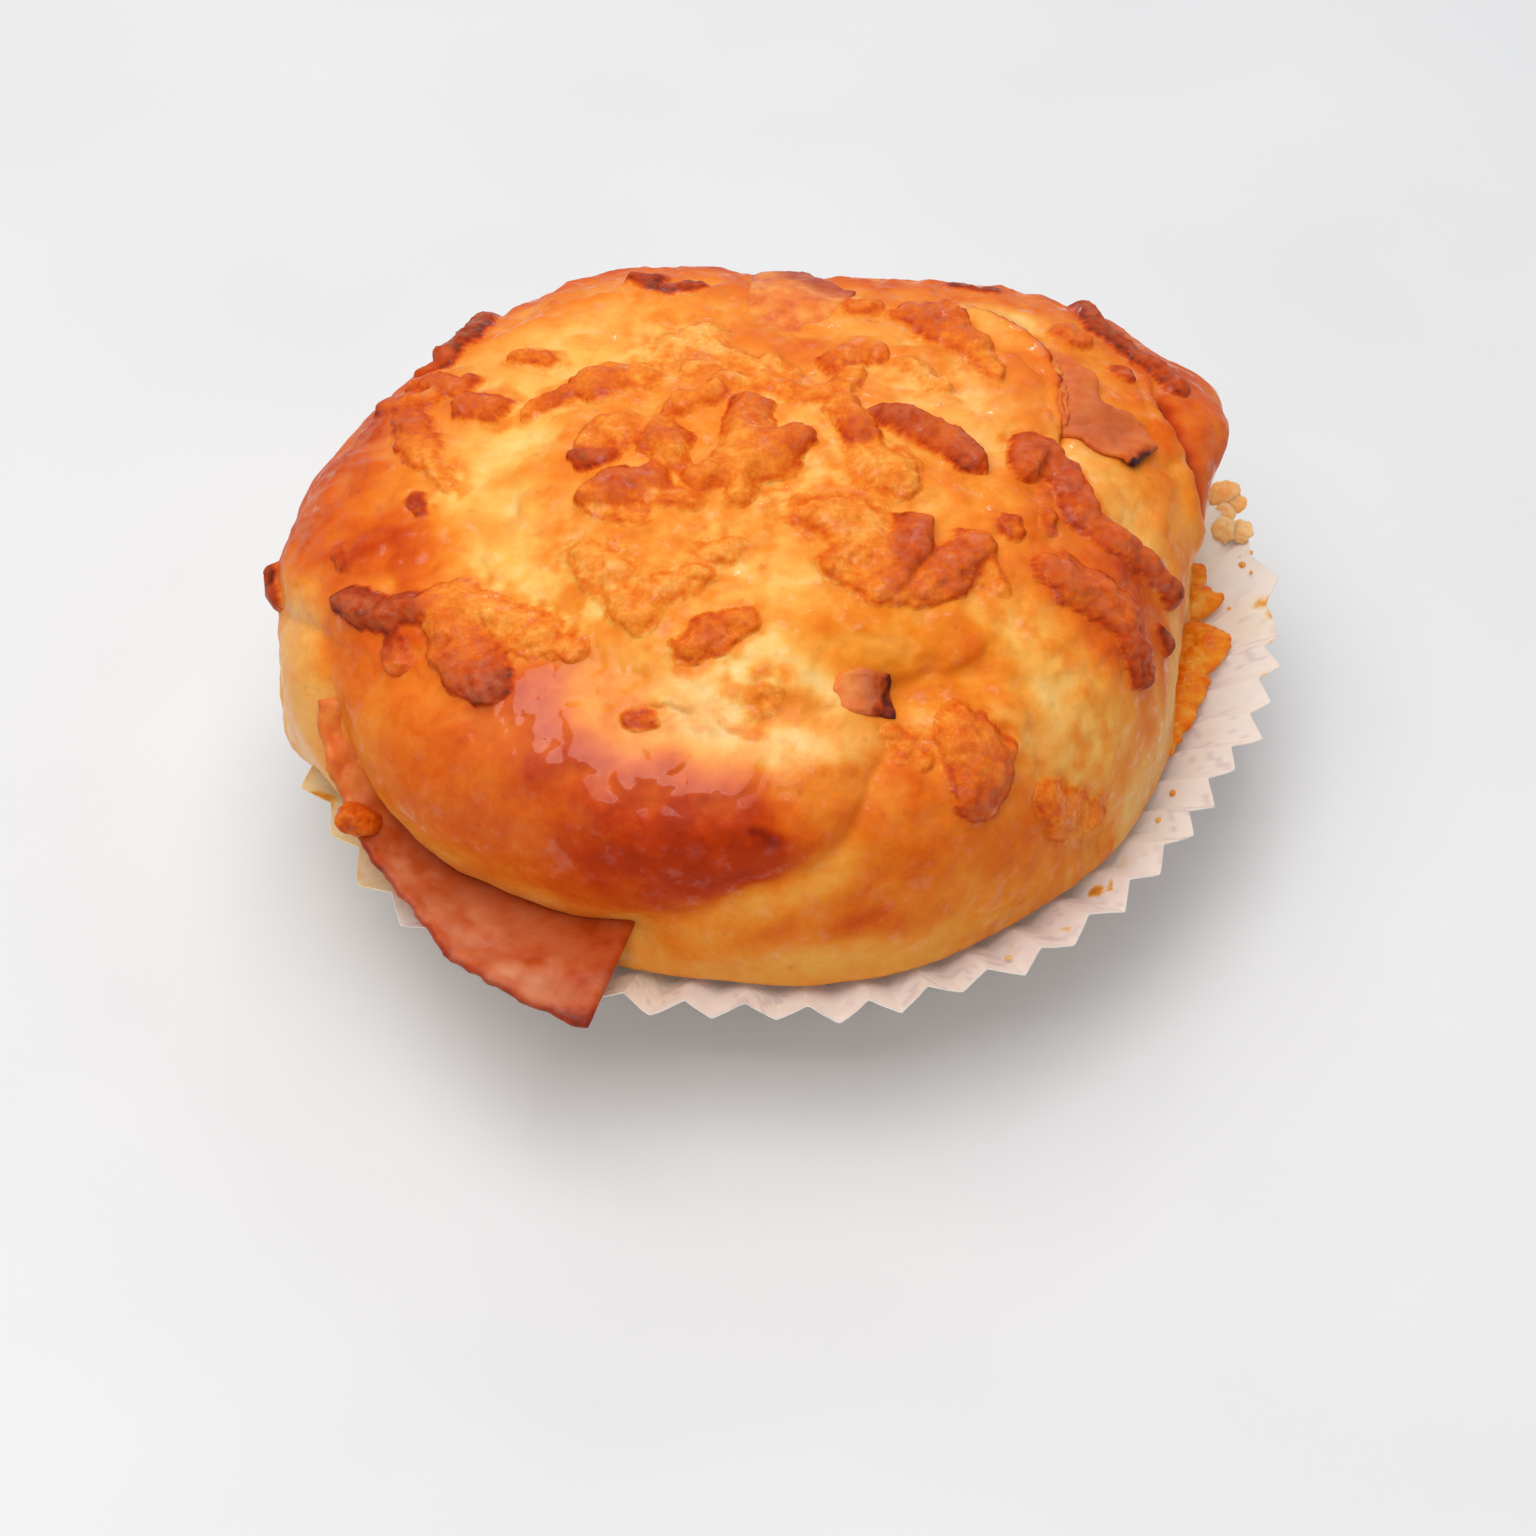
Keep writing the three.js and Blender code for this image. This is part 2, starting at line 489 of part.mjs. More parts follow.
const slices = Object.entries(HAM).map(([name, s]) => [name, hamSlice(s, 0), hamSlice(s, GAP)]);
let bread = dough(0);
const breadGrown = dough(GAP + 0.05);
for (const [, , slot] of slices) bread = bread.subtract(slot);
const paper = paperCase(PAPER), paperGrown = paperCase(PAPER + 2 * GAP);
add("bread", largest(bread), "crust");
add("paper_case", paper, "paper");
for (const [name, slice] of slices) add(name, largest(slice.subtract(paperGrown)), "ham");

const placed = slices.map(([, , slot]) => slot);
for (const [name, shred] of Object.entries(CHEESE)) {
  const ridge = (grow) => {
    const first = cheeseRidge(shred, grow);
    return shred.branch ? first.add(cheeseRidge(shred.branch, grow)) : first;
  };
  let solid = ridge(0).subtract(breadGrown).subtract(paperGrown);
  for (const other of placed) solid = solid.subtract(other);
  add("cheese_" + name, largest(solid), "cheese");
  placed.push(ridge(GAP));
}
let crisp = frill().subtract(breadGrown).subtract(paperGrown);
for (const other of placed) crisp = crisp.subtract(other);
add("cheese_frill", largest(crisp), "cheese");

export default root;
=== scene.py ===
import math

import bpy
import numpy as np
from mathutils import Matrix, Vector


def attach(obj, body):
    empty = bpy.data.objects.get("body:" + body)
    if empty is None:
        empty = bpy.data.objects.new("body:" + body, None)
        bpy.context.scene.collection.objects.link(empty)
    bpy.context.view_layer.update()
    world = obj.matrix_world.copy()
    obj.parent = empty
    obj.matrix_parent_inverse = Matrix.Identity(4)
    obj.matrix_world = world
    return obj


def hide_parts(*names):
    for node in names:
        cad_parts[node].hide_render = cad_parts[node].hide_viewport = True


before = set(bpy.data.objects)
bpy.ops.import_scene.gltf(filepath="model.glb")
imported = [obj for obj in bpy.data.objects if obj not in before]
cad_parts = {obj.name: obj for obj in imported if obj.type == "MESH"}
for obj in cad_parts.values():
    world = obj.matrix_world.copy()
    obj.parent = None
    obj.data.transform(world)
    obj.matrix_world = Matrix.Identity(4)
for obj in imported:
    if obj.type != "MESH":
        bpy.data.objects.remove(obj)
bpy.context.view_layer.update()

# Ham and cheese roll in its pleated paper case. Lengths are in millimetres until a mesh is written.
# The form of the roll is a radius over directions from one centre point, as in the CAD model;
# what the photograph shows is placed by its pixels, cast back onto that form.

# ------------------------------------------------------------------ camera of the photograph
FOCAL_PX = 4400.0
ELEVATION = 44.43
ROLL = 1.35
DISTANCE = 516.8
BASE_PX = (786.0, 785.0)  # where the centre of the base falls in the 1536 frame
HALF = 768.0

_e, _r = math.radians(ELEVATION), math.radians(ROLL)
CAM_FWD = np.array([0.0, math.cos(_e), -math.sin(_e)])
_right = np.array([1.0, 0.0, 0.0])
_up = np.cross(_right, CAM_FWD)
CAM_RIGHT = math.cos(_r) * _right + math.sin(_r) * _up
CAM_UP = -math.sin(_r) * _right + math.cos(_r) * _up
CAM_POS = -(
    (BASE_PX[0] - HALF) / FOCAL_PX * DISTANCE * CAM_RIGHT
    - (BASE_PX[1] - HALF) / FOCAL_PX * DISTANCE * CAM_UP
    + DISTANCE * CAM_FWD
)


def rays(px):
    px = np.asarray(px, float).reshape(-1, 2)
    d = (
        ((px[:, 0] - HALF) / FOCAL_PX)[:, None] * CAM_RIGHT
        - ((px[:, 1] - HALF) / FOCAL_PX)[:, None] * CAM_UP
        + CAM_FWD
    )
    return d / np.linalg.norm(d, axis=1)[:, None]


# ------------------------------------------------------------------ noise
_G = np.array(
    [[1, 1, 0], [-1, 1, 0], [1, -1, 0], [-1, -1, 0], [1, 0, 1], [-1, 0, 1], [1, 0, -1], [-1, 0, -1],
     [0, 1, 1], [0, -1, 1], [0, 1, -1], [0, -1, -1]], float)


def noise(P, size, seed=0):
    """Gradient noise of about -1 to 1, with features of the given size in mm."""
    Q = np.asarray(P, float) / size + np.array([17.3, 5.1, 9.7]) * (seed + 1)
    i = np.floor(Q).astype(np.int64)
    f = Q - i
    u = f * f * f * (f * (f * 6 - 15) + 10)
    total = np.zeros(len(Q))
    for cx in (0, 1):
        for cy in (0, 1):
            for cz in (0, 1):
                ix, iy, iz = i[:, 0] + cx, i[:, 1] + cy, i[:, 2] + cz
                h = (ix * 374761393 + iy * 668265263 + iz * 1440662683 + seed * 974711) & 0xFFFFFFFF
                h = ((h ^ (h >> 13)) * 1274126177) & 0xFFFFFFFF
                h = h ^ (h >> 16)
                g = _G[h % 12]
                dot = g[:, 0] * (f[:, 0] - cx) + g[:, 1] * (f[:, 1] - cy) + g[:, 2] * (f[:, 2] - cz)
                w = (
                    (u[:, 0] if cx else 1 - u[:, 0])
                    * (u[:, 1] if cy else 1 - u[:, 1])
                    * (u[:, 2] if cz else 1 - u[:, 2])
                )
                total += w * dot
    return total * 1.15


def fbm(P, size, seed=0, octaves=3, gain=0.5):
    total, amp, norm = 0.0, 1.0, 0.0
    for k in range(octaves):
        total = total + amp * noise(P, size / 2**k, seed + 13 * k)
        norm += amp
        amp *= gain
    return total / norm * 1.3


def smooth(x, a, b):
    t = np.clip((x - a) / (b - a), 0, 1)
    return t * t * (3 - 2 * t)


# ------------------------------------------------------------------ form of the roll, as in the CAD
CENTRE = np.array([-3.4, 1.4, 22.0])
MEAN_RADIUS, CROWN, BELLY, SQUARENESS = 52.0, 29.8, 34.0, 2.9
OUTLINE = [(2, 1.9, 2.6), (3, -1.1, 1.85), (4, -0.8, 1.7), (5, -0.9, -0.6)]
SOFT_EDGE = 1.2
BASE_RADIUS, PAPER, PLEAT_BASE, PLEAT_RIM = 33.5, 0.45, 0.45, 1.2
FLARE, PLEAT_RISE = 5.0, 0.4
RIM_MEAN = 56.4
RIM_OUTLINE = [(1, -0.55, 2.7), (2, 0.0, 2.35), (3, 0.1, 0.6), (4, -0.45, 0.8)]
RIM_DENTS = [(184, 20, 1.3)]

FOLDS = [
    ([(98, 55), (115, 55), (132, 54), (151, 52), (167, 47), (178, 44), (-168, 41), (-156, 38), (-145, 37),
      (-131, 37), (-116, 36), (-103, 34), (-91, 32), (-80, 33), (-67, 33), (-57, 34), (-46, 34)],
     [0.8, 1.6, 2.4, 3.0, 3.6, 4.4, 5.0, 5.0, 4.2, 3.4, 3.0, 3.4, 4.2, 5.0, 5.6, 4.0, 0.8], 9.0, 13.0),
    ([(-157, 18), (-150, 13), (-145, 8), (-141, 3), (-136, 0), (-129, -2), (-118, -1), (-106, 1)],
     [0.6, 2.2, 3.6, 4.2, 4.5, 4.5, 4.2, 3.0], 9.0, 6.0),
    ([(-68, 28), (-74, 25), (-78, 20), (-83, 15), (-90, 12), (-97, 8), (-105, 4)],
     [3.0, 2.8, 2.6, 2.4, 2.4, 2.6, 2.6], 9.0, 9.0),
    ([(58, 45), (45, 42), (34, 40), (23, 39), (10, 39), (-4, 40)], [0.6, 1.6, 2.2, 2.4, 2.0, 0.4], 5.0, 7.0),
    ([(-45, 34), (-47, 26), (-49, 18), (-41, 0)], [0.5, 1.6, 2.0, 1.6], 8.0, 8.0),
    ([(-175, 9), (-161, 17), (-154, 19)], [1.6, 2.4, 1.0], 6.0, 6.0),
]
SWELLS = [
    ([(-120, 62)], 19.0, 1.2),
    ([(-134, 16), (-122, 21), (-105, 22), (-89, 23), (-80, 26)], 9.0, 2.4),
    ([(-173, 17), (177, 23), (162, 28), (140, 33), (116, 38)], 9.0, 1.0),
    ([(9, 63), (-21, 45), (-33, 28)], 10.0, 1.2),
    ([(-65, 16)], 9.0, 0.8),
    ([(18, 19), (8, 14)], 6.0, 1.2),
    ([(27, 14), (20, 16)], 5.2, 3.4),
    ([(16, 8), (5, 7), (0, 3)], 9.0, -4.2),
    ([(24, -2), (14, -3), (5, -7)], 6.5, -2.6),
    ([(-178, 6), (-169, 4)], 7.0, -2.4),
    ([(-154, -4), (-148, -5), (-143, -4)], 5.0, -3.4),
    ([(-108, -3), (-94, -4)], 7.0, -1.6),
    ([(-60, -4), (-52, -4)], 5.5, -1.0),
]


def unit(az, el):
    a, e = np.radians(az), np.radians(el)
    return np.array([np.cos(e) * np.cos(a), np.cos(e) * np.sin(a), np.sin(e)])


def dome_radius(D):
    az, across = np.arctan2(D[:, 1], D[:, 0]), np.hypot(D[:, 0], D[:, 1])
    uneven = sum(c * np.cos(k * az) + s * np.sin(k * az) for k, c, s in OUTLINE)
    radius = MEAN_RADIUS + uneven * smooth(across, 0, 0.35)
    height = np.where(D[:, 2] > 0, CROWN, BELLY)
    return ((across / radius) ** SQUARENESS + (np.abs(D[:, 2]) / height) ** SQUARENESS) ** (-1 / SQUARENESS)


def nearest(D, line):
    U = [unit(*p) for p in line]
    if len(U) == 1:
        return np.linalg.norm(D - U[0], axis=1), np.ones(len(D)), np.zeros(len(D))
    best, side, along = np.full(len(D), 9.0), np.zeros(len(D)), np.zeros(len(D))
    for i in range(len(U) - 1):
        a, b = U[i], U[i + 1]
        ab = b - a
        t = np.clip(((D - a) @ ab) / (ab @ ab), 0, 1)
        d = np.linalg.norm(D - a - t[:, None] * ab, axis=1)
        m = d < best
        best[m], along[m] = d[m], (i + t)[m]
        side[m] = np.sign(D @ np.cross(a, b))[m]
    return best, side, along


def fold_height(D, r, folds=FOLDS, swells=SWELLS):
    h = np.zeros(len(D))
    W = D * 50.0
    D = D + 0.022 * np.stack([noise(W, 12.0, 201), noise(W, 12.0, 202), noise(W, 12.0, 203)], 1)
    D = D / np.linalg.norm(D, axis=1)[:, None]
    for k, (line, depth, left, right) in enumerate(folds):
        d, side, along = nearest(D, line)
        i = np.clip(along.astype(int), 0, len(depth) - 2)
        t = along - i
        deep = np.array(depth)[i] * (1 - t) + np.array(depth)[i + 1] * t
        x = np.clip(np.hypot(d * r / np.where(side > 0, left, right), 0.1 if k == 0 else 0.04), 0, 1)
        h -= deep * (1 - np.sqrt(np.maximum(0, 1 - (1 - x) ** 2)))
    for line, width, height in swells:
        d, _, _ = nearest(D, line)
        h += height * np.exp(-((d * r / width) ** 2))
    return h


def rim_radius(a):
    r = RIM_MEAN + sum(c * np.cos(k * a) + s * np.sin(k * a) for k, c, s in RIM_OUTLINE)
    for at, width, depth in RIM_DENTS:
        off = a - math.radians(at)
        off = np.arctan2(np.sin(off), np.cos(off)) / math.radians(width)
        r = r - depth * np.exp(-off * off)
    return r


def rim_height(a):
    off = a - math.radians(-122)
    off = np.arctan2(np.sin(off), np.cos(off)) / math.radians(18)
    return 18.8 + 0.6 * np.cos(a - math.radians(20)) - 0.8 * np.exp(-off * off)


def wall_radius(a, z):
    t = np.clip(z / rim_height(a), 0, 1)
    return BASE_RADIUS + (rim_radius(a) - BASE_RADIUS) * 0.5 * (t + t**FLARE)


def wall_inside(a, z):
    rim = rim_height(a)
    t = np.clip(z / rim, 0, 1)
    return (
        wall_radius(a, z) - (PLEAT_BASE + (PLEAT_RIM - PLEAT_BASE) * t) - PAPER / 2
        + np.maximum(z - rim - 0.5, 0) * 2.5
    )


def case_limit(D):
    low, high = np.full(len(D), 5.0), np.full(len(D), 90.0)
    for _ in range(22):
        r = (low + high) / 2
        P = CENTRE + D * r[:, None]
        inside = np.hypot(P[:, 0], P[:, 1]) < wall_inside(np.arctan2(P[:, 1], P[:, 0]), np.maximum(P[:, 2] - 0.8, 0)) - 0.5
        inside &= P[:, 2] > PAPER + 0.5
        low, high = np.where(inside, r, low), np.where(inside, high, r)
    return low


def bread_radius(D, extra=None):
    """Radius of the dough along directions D; extra is fine relief in mm."""
    r0 = dome_radius(D)
    r = r0 + fold_height(D, r0)
    if extra is not None:
        r = r + extra
    low = np.nonzero(D[:, 2] < 0.35)[0]
    limit = case_limit(D[low])
    h = np.clip(0.5 + 0.5 * (limit - r[low]) / SOFT_EDGE, 0, 1)
    r[low] = limit * (1 - h) + r[low] * h - SOFT_EDGE * h * (1 - h)
    return r


def cast(px):
    """Where the photograph's pixels fall on the plain form."""
    d = rays(px)
    steps = np.arange(440.0, 600.0, 2.0)
    P = CAM_POS + steps[None, :, None] * d[:, None, :]
    q = P.reshape(-1, 3) - CENTRE
    rr = np.linalg.norm(q, axis=1)
    near = rr < 62
    f = np.full(len(q), 9.0)
    f[near] = rr[near] - bread_radius(q[near] / rr[near, None])
    f = f.reshape(len(d), len(steps))
    out = np.zeros((len(d), 3))
    for k in range(len(d)):
        i = np.nonzero(f[k] < 0)[0]
        out[k] = P[k, i[0]] if len(i) else P[k, int(np.argmin(f[k]))]
    # refine by bisection, all together
    hi = np.einsum("ij,ij->i", out - CAM_POS, d)
    lo = hi - 2.0
    for _ in range(12):
        mid = (lo + hi) / 2
        q = CAM_POS + mid[:, None] * d - CENTRE
        rr = np.linalg.norm(q, axis=1)
        inside = rr - bread_radius(q / rr[:, None]) < 0
        hi = np.where(inside, mid, hi)
        lo = np.where(inside, lo, mid)
    missed = f.min(1) >= 0
    P = CAM_POS + hi[:, None] * d
    P[missed] = out[missed]
    q = P - CENTRE
    D = q / np.linalg.norm(q, axis=1)[:, None]
    return CENTRE + D * bread_radius(D)[:, None]


# ------------------------------------------------------------------ fine relief of the dough
# a step where one thin layer of dough lies over the next: pixels along it, then height in mm
LAYER_EDGE = [(915, 300), (945, 309), (985, 322), (1018, 336), (1040, 356), (1052, 385), (1059, 420), (1058, 445), (1048, 470)]
LIP_CREASE = [(1150, 386), (1170, 410), (1185, 440), (1196, 470), (1201, 508)]
SLIT = [(752, 832), (764, 836), (775, 843)]
POCKET = [(896, 692), (930, 688), (962, 672)]
SEAM = [(640, 716), (668, 706), (690, 716)]


def polyline(P, line, radius=14.0):
    """Distance in mm to a polyline in space, the side, and how far along."""
    best, along, side = np.full(len(P), 99.0), np.zeros(len(P)), np.zeros(len(P))
    line = np.asarray(line, float)
    near = np.nonzero(((P - line.mean(0)) ** 2).sum(1) < (np.linalg.norm(line - line.mean(0), axis=1).max() + radius) ** 2)[0]
    if not len(near):
        return best, side, along
    Q = P[near]
    b, s, l = best[near], side[near], along[near]
    out = Q - CENTRE
    for i in range(max(len(line) - 1, 1)):
        a = line[i]
        ab = line[min(i + 1, len(line) - 1)] - a
        L = max(ab @ ab, 1e-9)
        t = np.clip(((Q - a) @ ab) / L, 0, 1)
        v = Q - a - t[:, None] * ab
        d = np.linalg.norm(v, axis=1)
        m = d < b
        b[m], l[m] = d[m], (i + t)[m]
        s[m] = np.sign(np.einsum("ij,ij->i", np.cross(ab, v), out))[m]
    best[near], side[near], along[near] = b, s, l
    return best, side, along


# ------------------------------------------------------------------ what lies on the crust
# toasted cheese: pixels along the middle, full width in mm, height in mm, toast 0 to 1
B = []


def blob(px, width, height, toast):
    n = len(px)
    width = [width] * n if np.isscalar(width) else width
    toast = [toast] * n if np.isscalar(toast) else toast
    B.append((px, width, height, toast))


# back left rim
blob([(452, 357), (470, 342), (487, 325)], [4, 5.5, 4], 1.6, 0.97)
blob([(428, 374), (450, 362)], 3.6, 1.0, 0.8)
blob([(418, 388), (440, 386), (462, 392)], [3, 5, 3], 1.0, 0.72)
blob([(462, 392), (473, 381)], 2.4, 0.8, 0.7)
blob([(388, 412), (412, 404), (436, 401)], [3.5, 5, 3.5], 1.2, [0.85, 0.72, 0.6])
blob([(412, 420), (416, 436), (424, 452)], [4.5, 6, 5.5], 1.3, [0.72, 0.68, 0.6])
blob([(428, 460), (450, 486)], [3.5, 2.5], 0.6, 0.45)
blob([(474, 408), (494, 411)], 5.6, 1.4, 0.68)
blob([(516, 359), (548, 364)], [2.6, 3.4], 0.8, 0.62)
blob([(532, 421), (556, 406), (584, 397)], [2.2, 3.2, 2.6], 0.9, [0.5, 0.68, 0.68])
blob([(640, 280), (668, 287), (700, 286)], [4, 5, 3], 0.8, 0.9)
# top left
blob([(600, 391), (618, 384), (640, 377)], [6, 7, 5.5], 1.6, [0.6, 0.62, 0.5])
blob([(670, 350), (700, 340), (718, 354)], [6, 7, 4], 1.0, 0.34)
blob([(676, 411), (698, 401), (718, 394)], [3, 4.8, 3], 1.0, 0.58)
blob([(596, 446), (612, 434), (632, 424)], [5, 7.5, 4.5], 1.2, 0.55)
blob([(588, 460), (608, 458)], [4.2, 3.6], 1.2, [0.88, 0.75])
blob([(656, 428), (668, 442), (674, 458)], [5, 7.5, 5], 1.4, [0.55, 0.68, 0.55])
blob([(750, 410), (748, 432), (745, 452)], [5.5, 7, 6], 1.7, [0.68, 0.62, 0.5])
blob([(702, 480), (735, 466), (765, 456), (792, 443)], [5, 7.5, 8, 6], 1.8, [0.62, 0.5, 0.58, 0.7])
blob([(742, 472), (738, 500)], [6, 3.5], 1.2, 0.5)
blob([(598, 497), (622, 489), (650, 483)], [4.5, 7, 5], 1.6, [0.62, 0.74, 0.7])
blob([(648, 496), (690, 500)], [5, 4], 0.8, 0.55)
blob([(600, 512), (640, 516)], 3.6, 0.7, 0.5)
blob([(690, 371), (735, 362), (790, 372)], [3, 4.2, 4], 0.7, 0.45)
blob([(720, 385), (756, 383), (795, 392)], [3, 4.5, 3.5], 0.7, 0.48)
blob([(836, 364), (872, 356)], [4.5, 4], 1.2, 0.6)
blob([(800, 400), (836, 394), (852, 376)], [2.5, 4, 3.5], 0.9, 0.52)
blob([(838, 404), (850, 420), (858, 438)], [4.5, 5.5, 4.5], 1.4, [0.55, 0.6, 0.72])
blob([(866, 460), (886, 470), (902, 484)], [6.5, 8.5, 5], 1.2, 0.46)
blob([(880, 416), (915, 428), (945, 441), (970, 462)], [3.8, 4.4, 4.6, 4.6], 1.9, [0.86, 0.8, 0.78, 0.88])
blob([(858, 312), (872, 308)], [4.4, 3.6], 0.8, 0.58)
blob([(906, 316), (926, 328), (950, 340), (972, 352)], [5, 6.5, 5, 4.5], 1.5, [0.66, 0.72, 0.66, 0.6])
blob([(972, 352), (992, 378)], [4.2, 3], 0.9, 0.5)
blob([(905, 366), (922, 376), (942, 388)], [2.6, 3.6, 2.6], 0.6, 0.38)
blob([(1066, 334), (1076, 340)], 4.4, 1.0, 0.62)
blob([(1121, 373), (1124, 376)], 3.6, 0.8, 0.74)
blob([(1078, 313), (1100, 330), (1122, 346), (1148, 366), (1172, 388)], [3, 4.4, 4.8, 4.8, 4], 1.5, [0.95, 0.95, 0.95, 0.9, 0.86])
blob([(955, 287), (985, 292)], [3, 4], 0.6, 0.9)
# right
blob([(1018, 470), (1036, 456), (1054, 470), (1064, 488)], [4.5, 6.5, 6.2, 4.8], 1.9, [0.72, 0.8, 0.8, 0.8])
blob([(1064, 486), (1079, 515), (1106, 541)], [4.8, 5.4, 4.2], 1.7, [0.8, 0.75, 0.72])
blob([(1106, 541), (1128, 554), (1148, 572), (1166, 594)], [3.8, 4.6, 4.8, 4.2], 1.8, [0.75, 0.78, 0.82, 0.92])
blob([(1046, 570), (1068, 578), (1092, 592)], [4.5, 6.5, 7], 1.8, [0.7, 0.74, 0.74])
blob([(1092, 592), (1116, 616), (1130, 642), (1138, 668)], [6.8, 6.2, 6, 5.5], 1.8, [0.74, 0.74, 0.78, 0.9])
blob([(1160, 636), (1164, 644)], 3.4, 1.0, 0.97)
blob([(912, 524), (906, 548), (892, 580)], [4.5, 5.8, 4.5], 1.8, [0.78, 0.8, 0.7])
blob([(972, 548), (948, 570), (918, 588)], [5, 7, 5], 1.7, [0.68, 0.72, 0.66])
blob([(806, 512), (842, 520)], [6, 8], 0.9, 0.5)
blob([(852, 524), (868, 548), (880, 566)], [9, 10, 7], 1.3, [0.5, 0.52, 0.6])
blob([(834, 562), (872, 584), (912, 594)], [5, 5.5, 5], 0.9, 0.56)
blob([(1008, 526), (1014, 532)], [3.2, 2.6], 0.7, 0.74)
blob([(1046, 516), (1048, 526)], 2.8, 0.6, 0.62)
blob([(984, 566), (1000, 590)], [3.4, 2.6], 0.5, 0.4)
# middle
blob([(584, 556), (606, 568)], [6.5, 7.5], 1.1, 0.42)
blob([(712, 552), (730, 548)], [4.6, 4.6], 0.9, 0.42)
blob([(655, 592), (676, 582), (700, 574)], [3.5, 5, 3.8], 0.9, 0.46)
blob([(628, 604), (640, 614)], 4.6, 0.9, 0.46)
blob([(692, 646), (712, 634), (744, 622)], [4.5, 6, 3.8], 1.2, [0.58, 0.66, 0.6])
blob([(634, 720), (648, 719)], [3.6, 3.2], 0.7, 0.7)
blob([(756, 700), (770, 690)], [3.0, 2.4], 0.4, 0.4)
# front left
blob([(446, 600), (458, 622), (466, 645)], [6, 7.5, 8.5], 1.9, [0.62, 0.62, 0.66])
blob([(466, 645), (480, 668), (492, 684)], [8.5, 7.4, 5.6], 2.0, [0.66, 0.74, 0.92])
blob([(460, 596), (500, 616), (540, 634)], [5, 6.5, 6.5], 1.4, [0.55, 0.5, 0.52])
blob([(540, 634), (576, 650)], [6.5, 4], 1.1, [0.52, 0.55])
blob([(348, 600), (366, 604), (388, 614)], [3.5, 4.8, 5.6], 1.5, [0.97, 0.92, 0.92])
blob([(388, 614), (412, 606), (438, 606)], [5.4, 5, 5], 1.5, [0.92, 0.86, 0.78])
blob([(394, 646), (399, 664)], [3.6, 2.8], 0.9, [0.8, 0.66])
blob([(270, 572), (269, 596)], [2.6, 3.2], 1.3, 0.95)
blob([(340, 556), (346, 566)], [2.8, 2.4], 0.5, 0.7)
blob([(415, 498), (421, 512)], [2.6, 2.2], 0.5, 0.8)
# front right
blob([(956, 724), (968, 744), (980, 764)], [4.4, 7, 9], 1.6, [0.58, 0.6, 0.64])
blob([(980, 764), (978, 786)], [9, 7.5], 1.6, [0.66, 0.74])
blob([(895, 736), (908, 744), (924, 758)], [3, 4.4, 3], 0.8, 0.55)
blob([(1050, 798), (1062, 812), (1076, 824)], [5.5, 7, 6.5], 1.4, [0.6, 0.56, 0.56])
blob([(1076, 824), (1090, 838), (1098, 850)], [6, 5.4, 4.6], 1.8, [0.58, 0.66, 0.8])
blob([(981, 930), (987, 922)], [3.6, 3.2], 0.7, 0.55)
blob([(1002, 908), (1010, 902)], [3.2, 2.6], 0.5, 0.5)
blob([(760, 702), (764, 704)], 2.4, 0.3, 0.4)

# melted cheese film: pixels, width in mm, strength
FILM = [
    ([(600, 440), (640, 432), (676, 446)], 8, 0.8),
    ([(596, 500), (650, 496), (696, 500)], 7, 0.8),
    ([(590, 565), (620, 580), (660, 600)], 7, 0.45),
    ([(660, 366), (720, 368), (800, 386), (850, 386)], 6, 0.75),
    ([(756, 316), (800, 322)], 6, 0.55),
    ([(690, 470), (750, 450), (790, 450)], 7, 0.6),
    ([(800, 508), (850, 530), (884, 568)], 10, 0.95),
    ([(850, 590), (900, 598), (960, 590)], 6, 0.7),
    ([(930, 470), (985, 500), (1030, 520)], 8, 0.5),
    ([(990, 390), (1020, 420), (1020, 460)], 6, 0.5),
    ([(900, 340), (950, 360), (985, 370)], 6, 0.5),
    ([(940, 610), (990, 620), (1050, 612)], 9, 0.75),
    ([(1050, 640), (1100, 660), (1130, 650)], 8, 0.7),
    ([(970, 660), (1010, 700)], 6, 0.4),
    ([(440, 600), (500, 620), (570, 640)], 6, 0.8),
    ([(1060, 790), (1090, 760), (1110, 700)], 7, 0.6),
    ([(1070, 830), (1040, 800)], 7, 0.7),
    ([(1060, 300), (1100, 340), (1160, 380)], 6, 0.3),
    ([(1110, 470), (1150, 500), (1170, 560)], 8, 0.35),
    ([(820, 880), (880, 860), (930, 850)], 7, 0.25),
    ([(940, 760), (980, 780)], 8, 0.5),
    ([(760, 840), (800, 800), (850, 780)], 9, 0.3),
    ([(430, 440), (450, 470)], 5, 0.4),
    ([(700, 380), (760, 400)], 5, 0.5),
]

